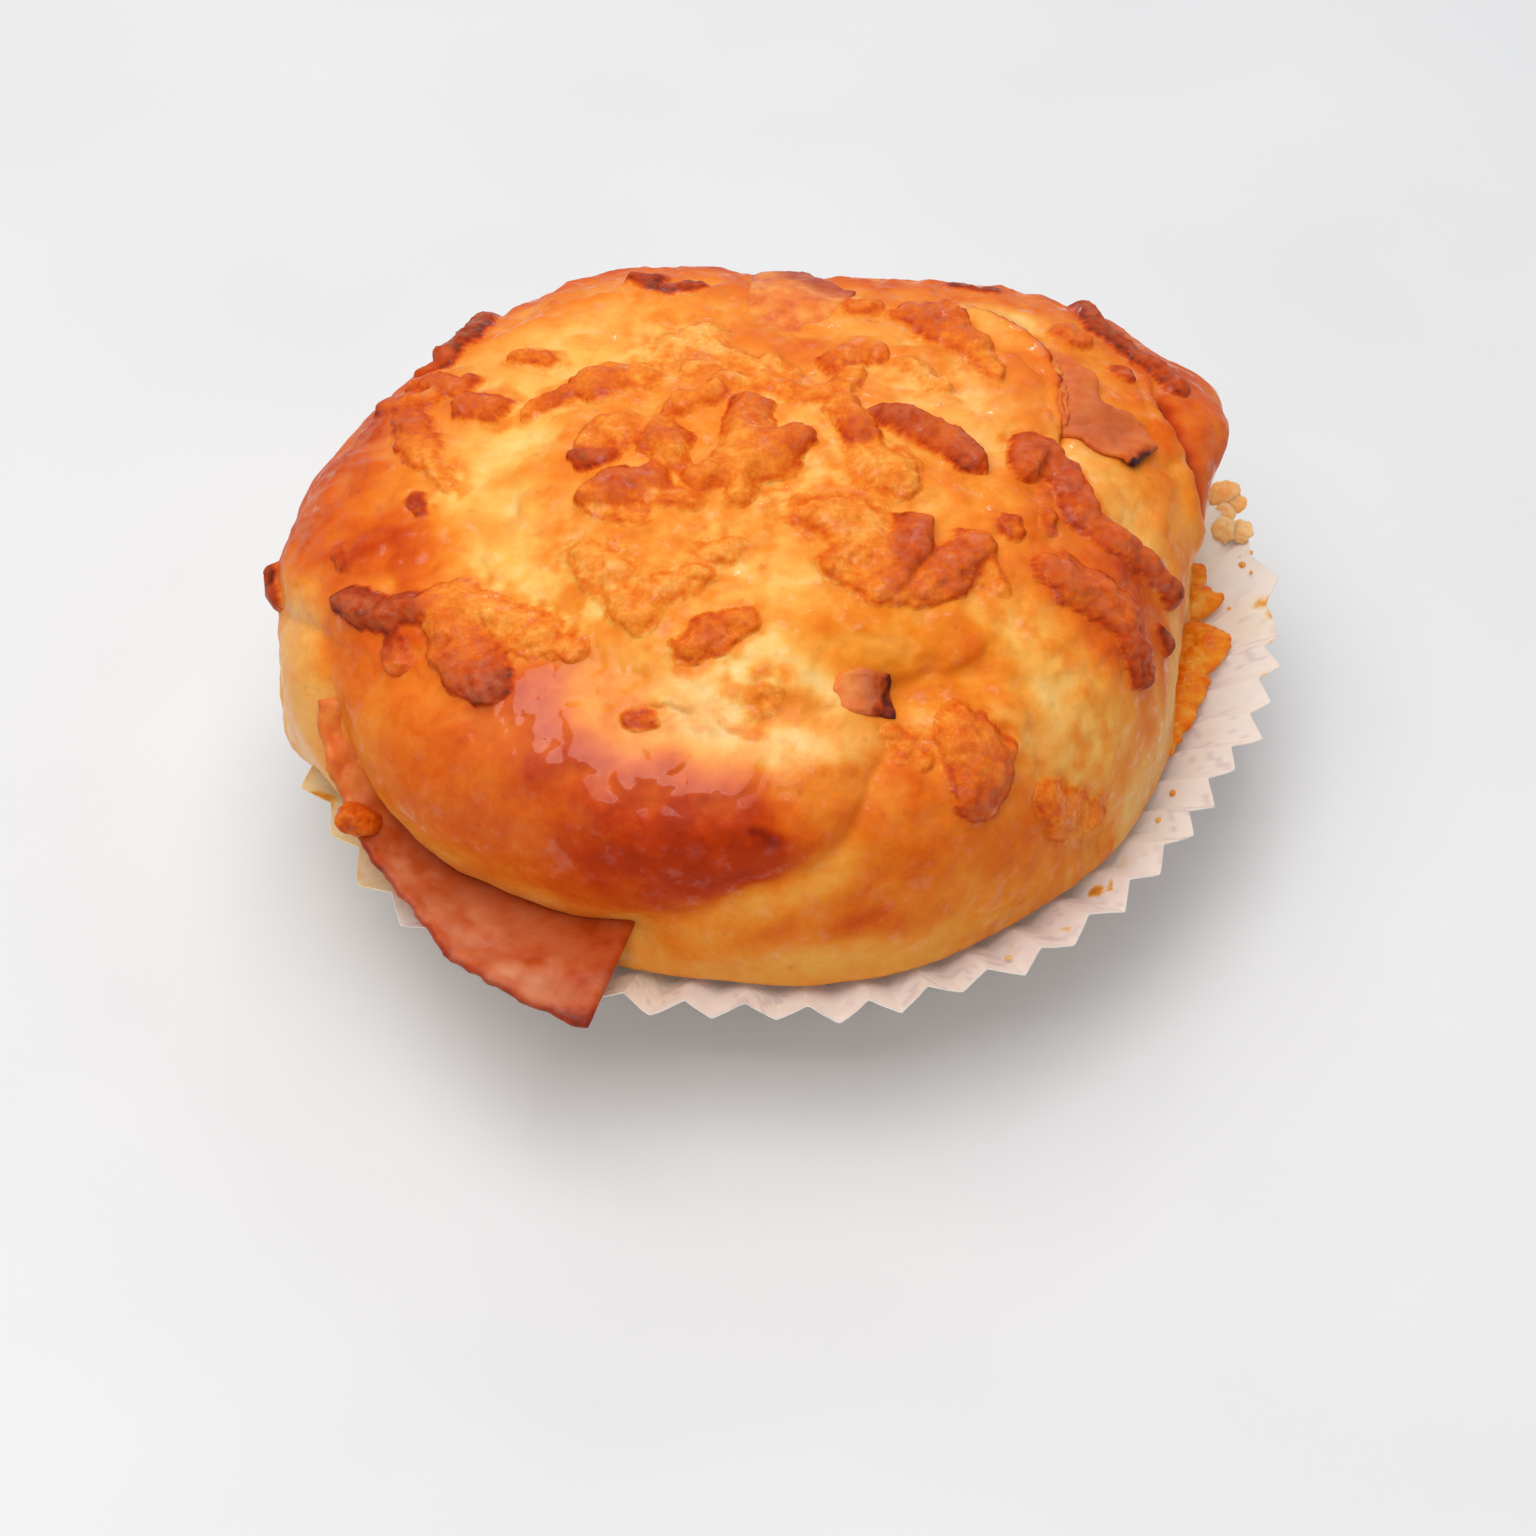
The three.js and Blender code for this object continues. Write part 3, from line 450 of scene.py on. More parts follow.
# ------------------------------------------------------------------ baking of the crust
# each stroke: pixels, half width in mm, then the values it pulls towards: bake, wet, rosy, gloss;
# None leaves one as it is
PAINT = [
    # ring at the left, back left
    ([(330, 560), (340, 480), (380, 420)], 13, 0.64, 0.0, 0.75, None, 0.9),
    ([(310, 560), (300, 600), (300, 640)], 5, 0.5, 0.0, 0.55, None, 0.7),
    ([(400, 560), (420, 540), (400, 500)], 9, 0.5, 0.15, 0.0, None, 0.8),
    ([(450, 470), (430, 440), (470, 440)], 6, 0.36, 0.1, 0.1, None, 0.7),
    ([(440, 380), (480, 350), (520, 320)], 8, 0.44, 0.0, 0.1, None, 0.8),
    ([(500, 370), (560, 330), (640, 310)], 8, 0.33, 0.15, 0.05, None, 0.9),
    ([(530, 350), (600, 350), (680, 320)], 6, 0.24, 0.35, 0.0, None, 0.7),
    ([(520, 285), (600, 268), (700, 266)], 5, 0.6, 0.0, 0.35, None, 0.8),
    # crevice round the middle
    ([(620, 360), (560, 390), (520, 440), (490, 500), (500, 560), (540, 590), (600, 630)], 7, 0.13, 0.75, 0.0, None, 0.95),
    ([(470, 530), (460, 560)], 5, 0.22, 0.5, 0.0, None, 0.6),
    ([(600, 630), (640, 650), (680, 670)], 6, 0.14, 0.5, 0.0, None, 0.8),
    ([(600, 690), (660, 680), (730, 680)], 6, 0.3, 0.8, 0.0, None, 0.8),
    ([(720, 650), (780, 660), (820, 640)], 5, 0.2, 0.6, 0.0, None, 0.7),
    # middle
    ([(640, 540), (700, 530), (760, 540)], 9, 0.24, 0.45, 0.0, None, 0.8),
    ([(560, 470), (600, 470), (560, 520)], 5, 0.3, 0.4, 0.0, None, 0.6),
    ([(700, 420), (720, 430), (700, 440)], 6, 0.3, 0.4, 0.0, None, 0.6),
    ([(790, 400), (800, 430), (830, 450), (880, 440)], 5, 0.16, 0.3, 0.0, None, 0.8),
    ([(760, 500), (790, 495), (820, 470)], 4, 0.12, 0.3, 0.0, None, 0.8),
    ([(640, 460), (650, 400)], 4, 0.35, 0.4, 0.0, None, 0.5),
    ([(860, 500), (920, 490), (990, 500)], 7, 0.36, 0.3, 0.0, None, 0.7),
    ([(800, 620), (860, 630), (920, 640)], 8, 0.28, 0.9, 0.0, None, 0.9),
    ([(750, 600), (780, 570)], 6, 0.22, 0.4, 0.0, None, 0.8),
    ([(900, 370), (960, 390), (1000, 420)], 5, 0.13, 0.15, 0.0, None, 0.8),
    ([(960, 400), (1000, 440)], 5, 0.14, 0.1, 0.0, None, 0.7),
    ([(1010, 350), (1035, 380), (1045, 430)], 5, 0.46, 0.0, 0.1, None, 0.8),
    ([(960, 310), (1000, 320), (1040, 330)], 6, 0.26, 0.2, 0.0, None, 0.8),
    ([(1050, 320), (1100, 370), (1150, 420)], 6, 0.46, 0.2, 0.0, None, 0.8),
    ([(880, 280), (960, 295), (1040, 305)], 5, 0.5, 0.0, 0.25, None, 0.8),
    ([(1080, 300), (1130, 345), (1170, 370)], 4, 0.62, 0.0, 0.4, None, 0.7),
    ([(820, 300), (870, 320), (900, 340)], 5, 0.28, 0.3, 0.0, None, 0.7),
    # right
    ([(1150, 410), (1180, 440)], 6, 0.5, 0.0, 0.0, None, 0.8),
    ([(1200, 410), (1215, 440), (1210, 480)], 5, 0.56, 0.0, 0.35, None, 0.9),
    ([(1080, 460), (1110, 490), (1140, 520)], 6, 0.12, 0.2, 0.0, None, 0.8),
    ([(1150, 470), (1180, 520), (1185, 570)], 7, 0.36, 0.15, 0.0, None, 0.8),
    ([(1188, 585), (1190, 610), (1180, 680), (1160, 750)], 4, 0.12, 0.0, 0.5, None, 0.8),
    ([(1120, 720), (1150, 700)], 5, 0.42, 0.3, 0.0, None, 0.7),
    # front right lobe
    ([(1000, 660), (1050, 700), (1090, 740)], 9, 0.2, 0.55, 0.0, None, 0.9),
    ([(930, 620), (960, 660), (940, 700)], 6, 0.4, 0.8, 0.0, None, 0.8),
    ([(1040, 740), (1070, 770)], 6, 0.12, 0.2, 0.0, None, 0.7),
    ([(960, 640), (990, 680)], 4, 0.5, 0.4, 0.0, None, 0.7),
    ([(870, 780), (920, 830), (980, 860), (1040, 860)], 13, 0.52, 0.2, 0.0, None, 0.85),
    ([(1100, 800), (1080, 870), (1030, 900)], 5, 0.4, 0.3, 0.0, None, 0.7),
    ([(930, 720), (1020, 740)], 4, 0.15, 0.0, 0.0, None, 0.6),
    # front roll
    ([(420, 730), (440, 790), (500, 840), (560, 870)], 11, 0.52, 0.0, 0.0, 0.35, 0.9),
    ([(540, 745), (580, 775), (640, 800), (700, 820)], 10, 0.7, 0.0, 0.0, 1.0, 0.9),
    ([(600, 850), (650, 850), (700, 845), (730, 860)], 9, 0.82, 0.0, 0.0, 0.3, 0.95),
    ([(480, 810), (520, 830), (560, 840)], 8, 0.54, 0.0, 0.0, 0.35, 0.8),
    ([(560, 700), (640, 745), (700, 770)], 7, 0.6, 0.0, 0.15, 1.0, 0.7),
    ([(600, 700), (700, 740), (780, 740), (850, 730)], 5, 0.3, 0.3, 0.0, 0.5, 0.8),
    ([(760, 790), (800, 790), (850, 790)], 6, 0.5, 0.1, 0.3, None, 0.8),
    ([(680, 720), (740, 740), (800, 735)], 4, 0.22, 0.4, 0.0, None, 0.7),
    ([(430, 690), (460, 720), (500, 740)], 6, 0.5, 0.1, 0.1, None, 0.6),
    ([(372, 700), (366, 760), (378, 820)], 3, 0.4, 0.2, 0.1, None, 0.6),
    ([(430, 878), (500, 893), (580, 905)], 3.4, 0.24, 0.4, 0.0, None, 0.9),
    # lower lobe
    ([(620, 905), (700, 930), (800, 945), (900, 940)], 8, 0.5, 0.1, 0.1, 0.3, 0.9),
    ([(640, 960), (760, 980), (900, 965)], 5, 0.3, 0.3, 0.0, 0.2, 0.8),
    ([(780, 870), (840, 870), (900, 880)], 8, 0.5, 0.1, 0.0, 0.3, 0.8),
    ([(866, 934), (872, 940)], 4, 0.66, 0.0, 0.0, None, 0.8),
    ([(960, 900), (1000, 910)], 6, 0.42, 0.2, 0.0, None, 0.7),
    # left side under the ring
    ([(290, 640), (300, 700), (310, 760)], 8, 0.24, 0.5, 0.25, 0.5, 0.95),
    ([(345, 650), (350, 690)], 4, 0.55, 0.1, 0.0, None, 0.7),
    ([(380, 660), (400, 700)], 6, 0.5, 0.1, 0.05, None, 0.7),
    ([(350, 545), (400, 535), (430, 560)], 5, 0.66, 0.0, 0.0, None, 0.6),
    # dough under the slices and slits
    ([(756, 832), (772, 842)], 1.1, 0.8, 0.0, 0.2, None, 0.6),
    ([(900, 690), (955, 684)], 3.4, 0.5, 0.75, 0.0, None, 0.8),
    ([(690, 700), (740, 715), (800, 730)], 4, 0.0, 0.3, 0.2, None, 0.8),
    ([(700, 660), (760, 672), (820, 690)], 4, 0.02, 0.1, 0.1, None, 0.7),
    # painted shade: darker orange dough in the hollow of the middle slice, where the slice dips under
    ([(762, 703), (790, 706), (812, 712)], 2.6, 0.5, 0.4, 0.1, None, 0.8),
    ([(840, 622), (885, 632)], 5, 0.42, 0.7, 0.0, None, 0.7),
    ([(690, 730), (760, 745), (850, 742)], 2.6, 0.02, 0.2, 0.1, None, 0.6),
    ([(600, 866), (650, 878), (700, 874), (745, 856)], 6, 0.78, 0.0, 0.0, 0.25, 0.9),
    ([(440, 886), (520, 906), (600, 930), (660, 938), (725, 926), (790, 897), (835, 866)], 2.6, 0.3, 0.5, 0.0, 0.1, 0.85),
    ([(760, 965), (850, 960), (940, 945), (1000, 920)], 4, 0.26, 0.6, 0.0, 0.1, 0.7),
    ([(1080, 465), (1100, 485), (1118, 505)], 3.5, 0.14, 0.2, 0.0, None, 0.8),
    ([(1186, 600), (1190, 640), (1182, 690)], 3, 0.08, 0.1, 0.4, None, 0.8),
    ([(1066, 768), (1092, 764)], 4, 0.16, 0.3, 0.1, None, 0.7),
    ([(876, 778), (890, 784)], 4, 0.34, 0.2, 0.1, None, 0.7),
    ([(985, 314), (1012, 318)], 3.5, 0.1, 0.3, 0.1, None, 0.8),
    ([(552, 386), (572, 384)], 3, 0.2, 0.3, 0.0, None, 0.7),
    ([(700, 650), (740, 660), (780, 660)], 3, 0.05, 0.5, 0.0, None, 0.6),
    ([(500, 498), (506, 522)], 4, 0.26, 0.5, 0.0, None, 0.7),
    ([(610, 330), (635, 330)], 4, 0.32, 0.3, 0.0, None, 0.7),
    ([(690, 716), (712, 722)], 3, 0.1, 0.1, 0.45, None, 0.7),
    ([(1150, 560), (1170, 600), (1176, 650)], 3.5, 0.16, 0.3, 0.1, None, 0.8),
    ([(680, 930), (720, 934)], 4, 0.46, 0.3, 0.0, 0.1, 0.7),
    ([(350, 850), (330, 790), (316, 740)], 4, 0.3, 0.3, 0.1, None, 0.6),
]


# ------------------------------------------------------------------ pixels to places, all in one cast
def cast_tables():
    lines = [b[0] for b in B] + [f[0] for f in FILM] + [p[0] for p in PAINT]
    lines += [LAYER_EDGE, LIP_CREASE, SLIT, POCKET, SEAM]
    flat = cast([q for line in lines for q in line])
    out, k = [], 0
    for line in lines:
        out.append(flat[k:k + len(line)])
        k += len(line)
    nb, nf, np_ = len(B), len(FILM), len(PAINT)
    return out[:nb], out[nb:nb + nf], out[nb + nf:nb + nf + np_], out[nb + nf + np_:]


BLOB_AT, FILM_AT, PAINT_AT, (EDGE_AT, LIP_AT, SLIT_AT, POCKET_AT, SEAM_AT) = cast_tables()


# ------------------------------------------------------------------ fields over the surface
def warp(P, size, amount, seed):
    return P + amount * np.stack([fbm(P, size, seed + k, 2) for k in (0, 1, 2)], 1)


def film_field(P):
    Q = warp(P, 6.0, 2.2, 40)
    total = np.zeros(len(P))
    for (_, width, strength), at in zip(FILM, FILM_AT):
        d, _, _ = polyline(Q, at, width * 1.6 + 2)
        total = np.maximum(total, strength * (1 - smooth(d / width, 0.35, 1.25)))
    # a thin, broken film over the whole crown
    crown = smooth(P[:, 2], 34, 42) * (0.24 + 0.26 * smooth(P[:, 0], -10, 20))
    strewn = crown * smooth(fbm(P, 8.0, 44, 2), -0.2, 0.3)
    total = np.maximum(total, strewn)
    patches = fbm(P, 3.6, 47, 3)
    return np.clip(total * (0.8 + 0.9 * patches), 0, 1)


def blob_field(P):
    """Height of the cheese over the crust, below zero away from it, and its toast."""
    K = 0.28
    top, toast, span = np.zeros(len(P)), np.zeros(len(P)), np.full(len(P), -9.0)
    edge = fbm(P, 2.2, 60, 3) * 0.75 + fbm(P, 6.5, 63, 1) * 0.5
    for (_, width, height, tone), at in zip(B, BLOB_AT):
        centre = at.mean(0)
        reach = np.linalg.norm(at - centre, axis=1).max() + max(width) + 1.5
        near = np.nonzero(((P - centre) ** 2).sum(1) < reach * reach)[0]
        if not len(near):
            continue
        Q = P[near]
        best = np.full(len(Q), 9.0)
        t_best = np.zeros(len(Q))
        for i in range(len(at) - 1):
            a, ab = at[i], at[i + 1] - at[i]
            t = np.clip(((Q - a) @ ab) / (ab @ ab), 0, 1)
            d = np.linalg.norm(Q - a - t[:, None] * ab, axis=1)
            half = (width[i] * (1 - t) + width[i + 1] * t) / 2
            s = np.maximum(d + edge[near] * np.minimum(1, half / 2.6), 0) / half
            m = s < best
            best[m], t_best[m] = s[m], (i + t)[m]
        q = 1 - best**2.0
        i = np.clip(t_best.astype(int), 0, len(tone) - 2)
        f = t_best - i
        shade = np.array(tone)[i] * (1 - f) + np.array(tone)[i + 1] * f
        firm = smooth(shade, 0.36, 0.64)
        h = height * 1.08 * np.where(q > 0, q * (firm + (1 - firm) * (0.25 + 0.75 * q)), q * (0.3 + 0.7 * firm))
        w = np.exp(np.clip(h, -4, 4) / K)
        top[near] += w
        toast[near] += w * shade
        span[near] = np.maximum(span[near], h)
    tone = toast / np.maximum(top, 1e-9)
    h = np.where(top > 1e-6, K * np.log(np.maximum(top, 1e-9)), -4.0)
    lumps = fbm(P, 1.4, 70, 3) * 0.3 + fbm(P, 3.2, 74, 2) * 0.3
    return h + lumps * smooth(h, 0.0, 0.7), tone * 0.94 + 0.01


def melted(P, film):
    """Height of the melted cheese round the lumps, and how far it colours the crust."""
    height, _ = blob_field(P)
    skirt = smooth(height + 0.9 * fbm(P, 3.0, 76, 2), -2.2, -0.3)
    cover = np.maximum(skirt * 0.9, film)
    bumps = fbm(P, 2.6, 49, 3)
    return 0.26 * cover * (0.55 + 0.9 * bumps), cover


def lumpy(P):
    """Lumps and hollows where shreds have sunk into the crown, -1 to 1."""
    Q = warp(P, 7.0, 1.8, 240)
    crown = smooth(P[:, 2], 36, 44)
    return crown * np.clip(fbm(Q, 5.6, 243, 3) * 1.25 + 0.35 * fbm(Q, 2.6, 247, 2), -1, 1)


def relief(P):
    """Fine relief of the dough in mm at places P on the plain form, and what the paint needs of it."""
    h = fbm(P, 9.0, 1, 3) * 0.4 + fbm(P, 2.6, 5, 3) * 0.12 + 0.62 * lumpy(P)
    # melted cheese and dough soften the bottom of the folds
    q = P - CENTRE
    D = q / np.linalg.norm(q, axis=1)[:, None]
    for line, depth, _, _ in (FOLDS[0],):
        d, _, along = nearest(D, line)
        d = d * 50.0
        h += (0.7 + 0.9 * fbm(P, 5.0, 210, 2)) * np.exp(-((d / 2.2) ** 2)) * smooth(along, 1, 3)
    # the thin top layer ends in a step
    d, side, along = polyline(P, EDGE_AT, 12)
    n = len(LAYER_EDGE) - 1
    fade = smooth(along, 0, 1.5) * (1 - smooth(along, n - 1.5, n))
    over = np.where(side > 0, 1.0, 0.0)
    h += fade * np.where(side > 0, -0.15, 1.5) * np.exp(-np.where(side > 0, d / 3.0, d / 5.5) ** 2)
    crease = fade * np.exp(-((d / 0.7) ** 2))
    h -= crease * 0.5
    # the lip at the right folds over itself
    d, side, along = polyline(P, LIP_AT, 12)
    fade = smooth(along, 0, 1.2)
    fold = fade * np.exp(-((d / 1.1) ** 2))
    h -= 1.1 * fold
    h += fade * 0.8 * np.exp(-(((d - 3.0) / 2.4) ** 2)) * np.where(side < 0, 1.0, 0.2)
    # a slit where the front roll's skin tucks in, a pocket beside the middle slice, a seam
    d, _, along = polyline(P, SLIT_AT, 8)
    slit = np.exp(-((d / (0.45 + 0.3 * along)) ** 2))
    h -= 0.4 * slit
    d, _, _ = polyline(P, POCKET_AT, 12)
    pocket = np.exp(-((d / 3.0) ** 2))
    h -= 1.5 * pocket
    d, _, _ = polyline(P, SEAM_AT, 6)
    h -= 0.6 * np.exp(-((d / 0.6) ** 2))
    return h, crease, slit, fold, pocket, over


def stretch_marks(P):
    """Fine upright ridges low on the right and left sides."""
    q = P - CENTRE
    az = np.arctan2(q[:, 1], q[:, 0])
    z = P[:, 2]
    along = np.stack([az * 52.0, z * 0.16, np.zeros(len(P))], 1)
    side = np.maximum(
        smooth(az, -1.1, -0.75) * (1 - smooth(az, 0.5, 0.8)), smooth(np.abs(az), 2.75, 2.95))
    low = (1 - smooth(z, 33, 42)) * side
    return fbm(along, 1.8, 90, 3) * low


def paint(P, r_plain_height):
    """Bake, wet, rosy and gloss at places P of the plain form."""
    Q = warp(P, 7.0, 1.6, 20)
    q = P - CENTRE
    z, across = P[:, 2], np.hypot(q[:, 0], q[:, 1])
    az = np.degrees(np.arctan2(q[:, 1], q[:, 0]))
    # plain baking: the shoulders brown, the low sides stay pale, folds stay pale and moist
    shoulder = np.exp(-(((z - 41) / 9.0) ** 2))
    bake = 0.38 + 0.22 * shoulder + fbm(P, 16, 25, 3) * 0.12
    bake = bake * (1 - 0.55 * (1 - smooth(z, 22, 33)))
    folds = smooth(-r_plain_height, 0.6, 4.5)
    bake = bake * (1 - 0.55 * folds)
    wet = 0.15 + 0.6 * folds
    rosy = 0.12 + 0.25 * shoulder * smooth(fbm(P, 12, 27, 2), -0.3, 0.5)
    gloss = np.full(len(P), 0.22)
    for (_, width, b, w, y, g, strength), at in zip(PAINT, PAINT_AT):
        d, _, _ = polyline(Q, at, width * 1.7 + 2)
        k = strength * (1 - smooth(d / width, 0.25, 1.45))
        bake = bake + (b - bake) * k
        wet = wet + (w - wet) * k
        rosy = rosy + (y - rosy) * k
        if g is not None:
            gloss = gloss + (g - gloss) * k
    knobs = lumpy(P)
    bake = 0.07 + 0.95 * bake + 0.07 * fbm(P, 5.0, 29, 3) + 0.13 * knobs
    wet = wet * (1 - 0.5 * np.clip(knobs, 0, 1))
    return bake, wet, rosy, gloss


def shine_wrinkles(P, gloss):
    """The glazed skin of the front roll is finely wrinkled."""
    return smooth(gloss, 0.4, 0.85) * (0.26 * fbm(P, 3.4, 220, 3) + 0.1 * np.abs(fbm(P, 1.5, 224, 2)))


# ------------------------------------------------------------------ meshes
def ring_mesh(theta, counts):
    """Directions on rings round +Z, and the triangles that stitch each ring to the next."""
    dirs, starts, tris = [], [], []
    total = 0
    for t, m in zip(theta, counts):
        a = 2 * math.pi * np.arange(m) / m
        dirs.append(np.stack([np.sin(t) * np.cos(a), np.sin(t) * np.sin(a), np.full(m, np.cos(t))], 1))
        starts.append(total)
        total += m
    for k in range(len(counts) - 1):
        m, n, s, e = counts[k], counts[k + 1], starts[k], starts[k + 1]
        if m == 1:
            j = np.arange(n)
            tris.append(np.stack([np.full(n, s), e + j, e + (j + 1) % n], 1))
            continue
        if n == 1:
            i = np.arange(m)
            tris.append(np.stack([s + i, np.full(m, e), s + (i + 1) % m], 1))
            continue
        ka, kb = (np.arange(m) + 0.5) / m, (np.arange(n) + 0.5) / n
        i = np.arange(m)
        tris.append(np.stack([s + i, e + np.searchsorted(kb, ka, "left") % n, s + (i + 1) % m], 1))
        j = np.arange(n)
        tris.append(np.stack([e + j, e + (j + 1) % n, s + np.searchsorted(ka, kb, "right") % m], 1))
    return np.concatenate(dirs), np.concatenate(tris)


def rings(h_fine, theta_fine, h_coarse, theta_end):
    """Ring angles of about even spacing over the dome, growing coarser below theta_fine."""
    fine = np.linspace(0, math.pi, 2001)
    D = np.stack([np.sin(fine), np.zeros_like(fine), np.cos(fine)], 1)
    r = dome_radius(D)
    r = np.where(D[:, 2] < 0, np.minimum(r, 21.0 / np.maximum(-D[:, 2], 1e-6)), r)
    x, z = r * np.sin(fine), r * np.cos(fine)
    theta, counts, t = [0.0], [1], 0.0
    s = np.concatenate([[0], np.cumsum(np.hypot(np.diff(x), np.diff(z)))])
    here = 0.0
    while True:
        grow = smooth(np.array([t]), theta_fine, theta_fine + 0.5)[0]
        h = h_fine + (h_coarse - h_fine) * grow
        here += h * 0.87
        if here >= s[-1]:
            break
        t = float(np.interp(here, s, fine))
        if t > theta_end:
            break
        theta.append(t)
        counts.append(max(6, int(round(2 * math.pi * np.interp(here, s, x) / h))))
    if theta_end >= math.pi:
        theta.append(math.pi)
        counts.append(1)
    return theta, counts


def mesh_object(name, verts, tris, values=None, material=None, flat=False):
    me = bpy.data.meshes.new(name)
    verts = np.asarray(verts, np.float64) / 1000.0
    tris = np.asarray(tris, np.int32)
    me.vertices.add(len(verts))
    me.vertices.foreach_set("co", verts.astype(np.float32).ravel())
    me.loops.add(tris.size)
    me.loops.foreach_set("vertex_index", tris.ravel())
    me.polygons.add(len(tris))
    me.polygons.foreach_set("loop_start", np.arange(0, tris.size, 3, dtype=np.int32))
    me.update(calc_edges=True)
    me.validate()
    if not flat:
        me.shade_smooth()
    for key, v in (values or {}).items():
        a = me.attributes.new(key, "FLOAT", "POINT")
        a.data.foreach_set("value", np.asarray(v, np.float32))
    o = bpy.data.objects.new(name, me)
    bpy.context.scene.collection.objects.link(o)
    if material:
        me.materials.append(material)
    return o


def close_skin(top, bottom, tris):
    """A closed body from a skin, its offset and the walls between their open edges."""
    n = len(top)
    e = np.concatenate([tris[:, [0, 1]], tris[:, [1, 2]], tris[:, [2, 0]]])
    key = e[:, 0].astype(np.int64) * n + e[:, 1]
    back = e[:, 1].astype(np.int64) * n + e[:, 0]
    open_edges = e[~np.isin(key, back)]
    a, b = open_edges[:, 0], open_edges[:, 1]
    walls = np.concatenate([np.stack([a, a + n, b], 1), np.stack([b, a + n, b + n], 1)])
    return np.concatenate([top, bottom]), np.concatenate([tris, tris[:, ::-1] + n, walls])


def used(verts, tris, *values):
    ids = np.unique(tris)
    back = np.full(len(verts), -1)
    back[ids] = np.arange(len(ids))
    return (verts[ids], back[tris]) + tuple(v[ids] for v in values)


# ------------------------------------------------------------------ materials
def material(name):
    m = bpy.data.materials.new(name)
    m.use_nodes = True
    t = m.node_tree
    t.nodes.clear()
    out = t.nodes.new("ShaderNodeOutputMaterial")
    b = t.nodes.new("ShaderNodeBsdfPrincipled")
    t.links.new(b.outputs[0], out.inputs[0])
    return m, t, b


def lin(rgb):
    return tuple((c / 255 / 12.92 if c / 255 <= 0.04045 else ((c / 255 + 0.055) / 1.055) ** 2.4) for c in rgb) + (1.0,)


class Tree:
    def __init__(self, t):
        self.t = t
        self.xyz = t.nodes.new("ShaderNodeTexCoord").outputs["Object"]

    def link(self, a, b):
        self.t.links.new(a, b)

    def attr(self, name):
        n = self.t.nodes.new("ShaderNodeAttribute")
        n.attribute_name = name
        return n.outputs["Fac"]

    def noise(self, mm, detail=3.0, rough=0.55, distort=0.0, stretch=None):
        n = self.t.nodes.new("ShaderNodeTexNoise")
        n.inputs["Scale"].default_value = 1000.0 / mm
        n.inputs["Detail"].default_value = detail
        n.inputs["Roughness"].default_value = rough
        n.inputs["Distortion"].default_value = distort
        src = self.xyz
        if stretch:
            mp = self.t.nodes.new("ShaderNodeMapping")
            mp.inputs["Scale"].default_value = stretch
            self.link(src, mp.inputs["Vector"])
            src = mp.outputs[0]
        self.link(src, n.inputs["Vector"])
        return n.outputs["Fac"]

    def cells(self, mm, feature="F1", random=1.0):
        n = self.t.nodes.new("ShaderNodeTexVoronoi")
        n.feature = feature
        n.inputs["Scale"].default_value = 1000.0 / mm
        n.inputs["Randomness"].default_value = random
        self.link(self.xyz, n.inputs["Vector"])
        return n.outputs["Distance"]

    def math(self, op, a, b=None, c=None, clamp=False):
        n = self.t.nodes.new("ShaderNodeMath")
        n.operation = op
        n.use_clamp = clamp
        for i, v in enumerate((a, b, c)):
            if v is None:
                continue
            if isinstance(v, (int, float)):
                n.inputs[i].default_value = v
            else:
                self.link(v, n.inputs[i])
        return n.outputs[0]

    def ramp(self, fac, stops, smoothly=False):
        n = self.t.nodes.new("ShaderNodeValToRGB")
        r = n.color_ramp
        r.interpolation = "EASE" if smoothly else "LINEAR"
        while len(r.elements) < len(stops):
            r.elements.new(0.5)
        for e, (p, c) in zip(r.elements, stops):
            e.position = p
            e.color = lin(c) if len(c) == 3 else c
        self.link(fac, n.inputs[0])
        return n.outputs[0]

    def remap(self, v, a, b, c=0.0, d=1.0):
        n = self.t.nodes.new("ShaderNodeMapRange")
        n.inputs["From Min"].default_value = a
        n.inputs["From Max"].default_value = b
        n.inputs["To Min"].default_value = c
        n.inputs["To Max"].default_value = d
        self.link(v, n.inputs["Value"])
        return n.outputs[0]

    def mix(self, fac, a, b, mode="MIX"):
        n = self.t.nodes.new("ShaderNodeMix")
        n.data_type = "RGBA"
        n.blend_type = mode
        for s, v in ((n.inputs[0], fac), (n.inputs[6], a), (n.inputs[7], b)):
            if isinstance(v, (int, float)):
                s.default_value = v
            elif isinstance(v, tuple):
                s.default_value = v
            else:
                self.link(v, s)
        return n.outputs[2]

    def bump(self, height, strength, distance_mm, normal=None):
        n = self.t.nodes.new("ShaderNodeBump")
        n.inputs["Strength"].default_value = strength
        n.inputs["Distance"].default_value = distance_mm / 1000.0
        self.link(height, n.inputs["Height"])
        if normal is not None:
            self.link(normal, n.inputs["Normal"])
        return n.outputs[0]


BAKE_RAMP = [
    (0.0, (246, 216, 162)), (0.15, (245, 196, 122)), (0.30, (244, 166, 76)), (0.45, (238, 132, 36)),
    (0.60, (222, 94, 12)), (0.75, (192, 56, 3)), (0.88, (158, 37, 2)), (1.0, (84, 24, 8)),
]
WET_RAMP = [(0.0, (246, 218, 138)), (0.25, (244, 186, 82)), (0.5, (236, 138, 28)), (1.0, (184, 64, 4))]


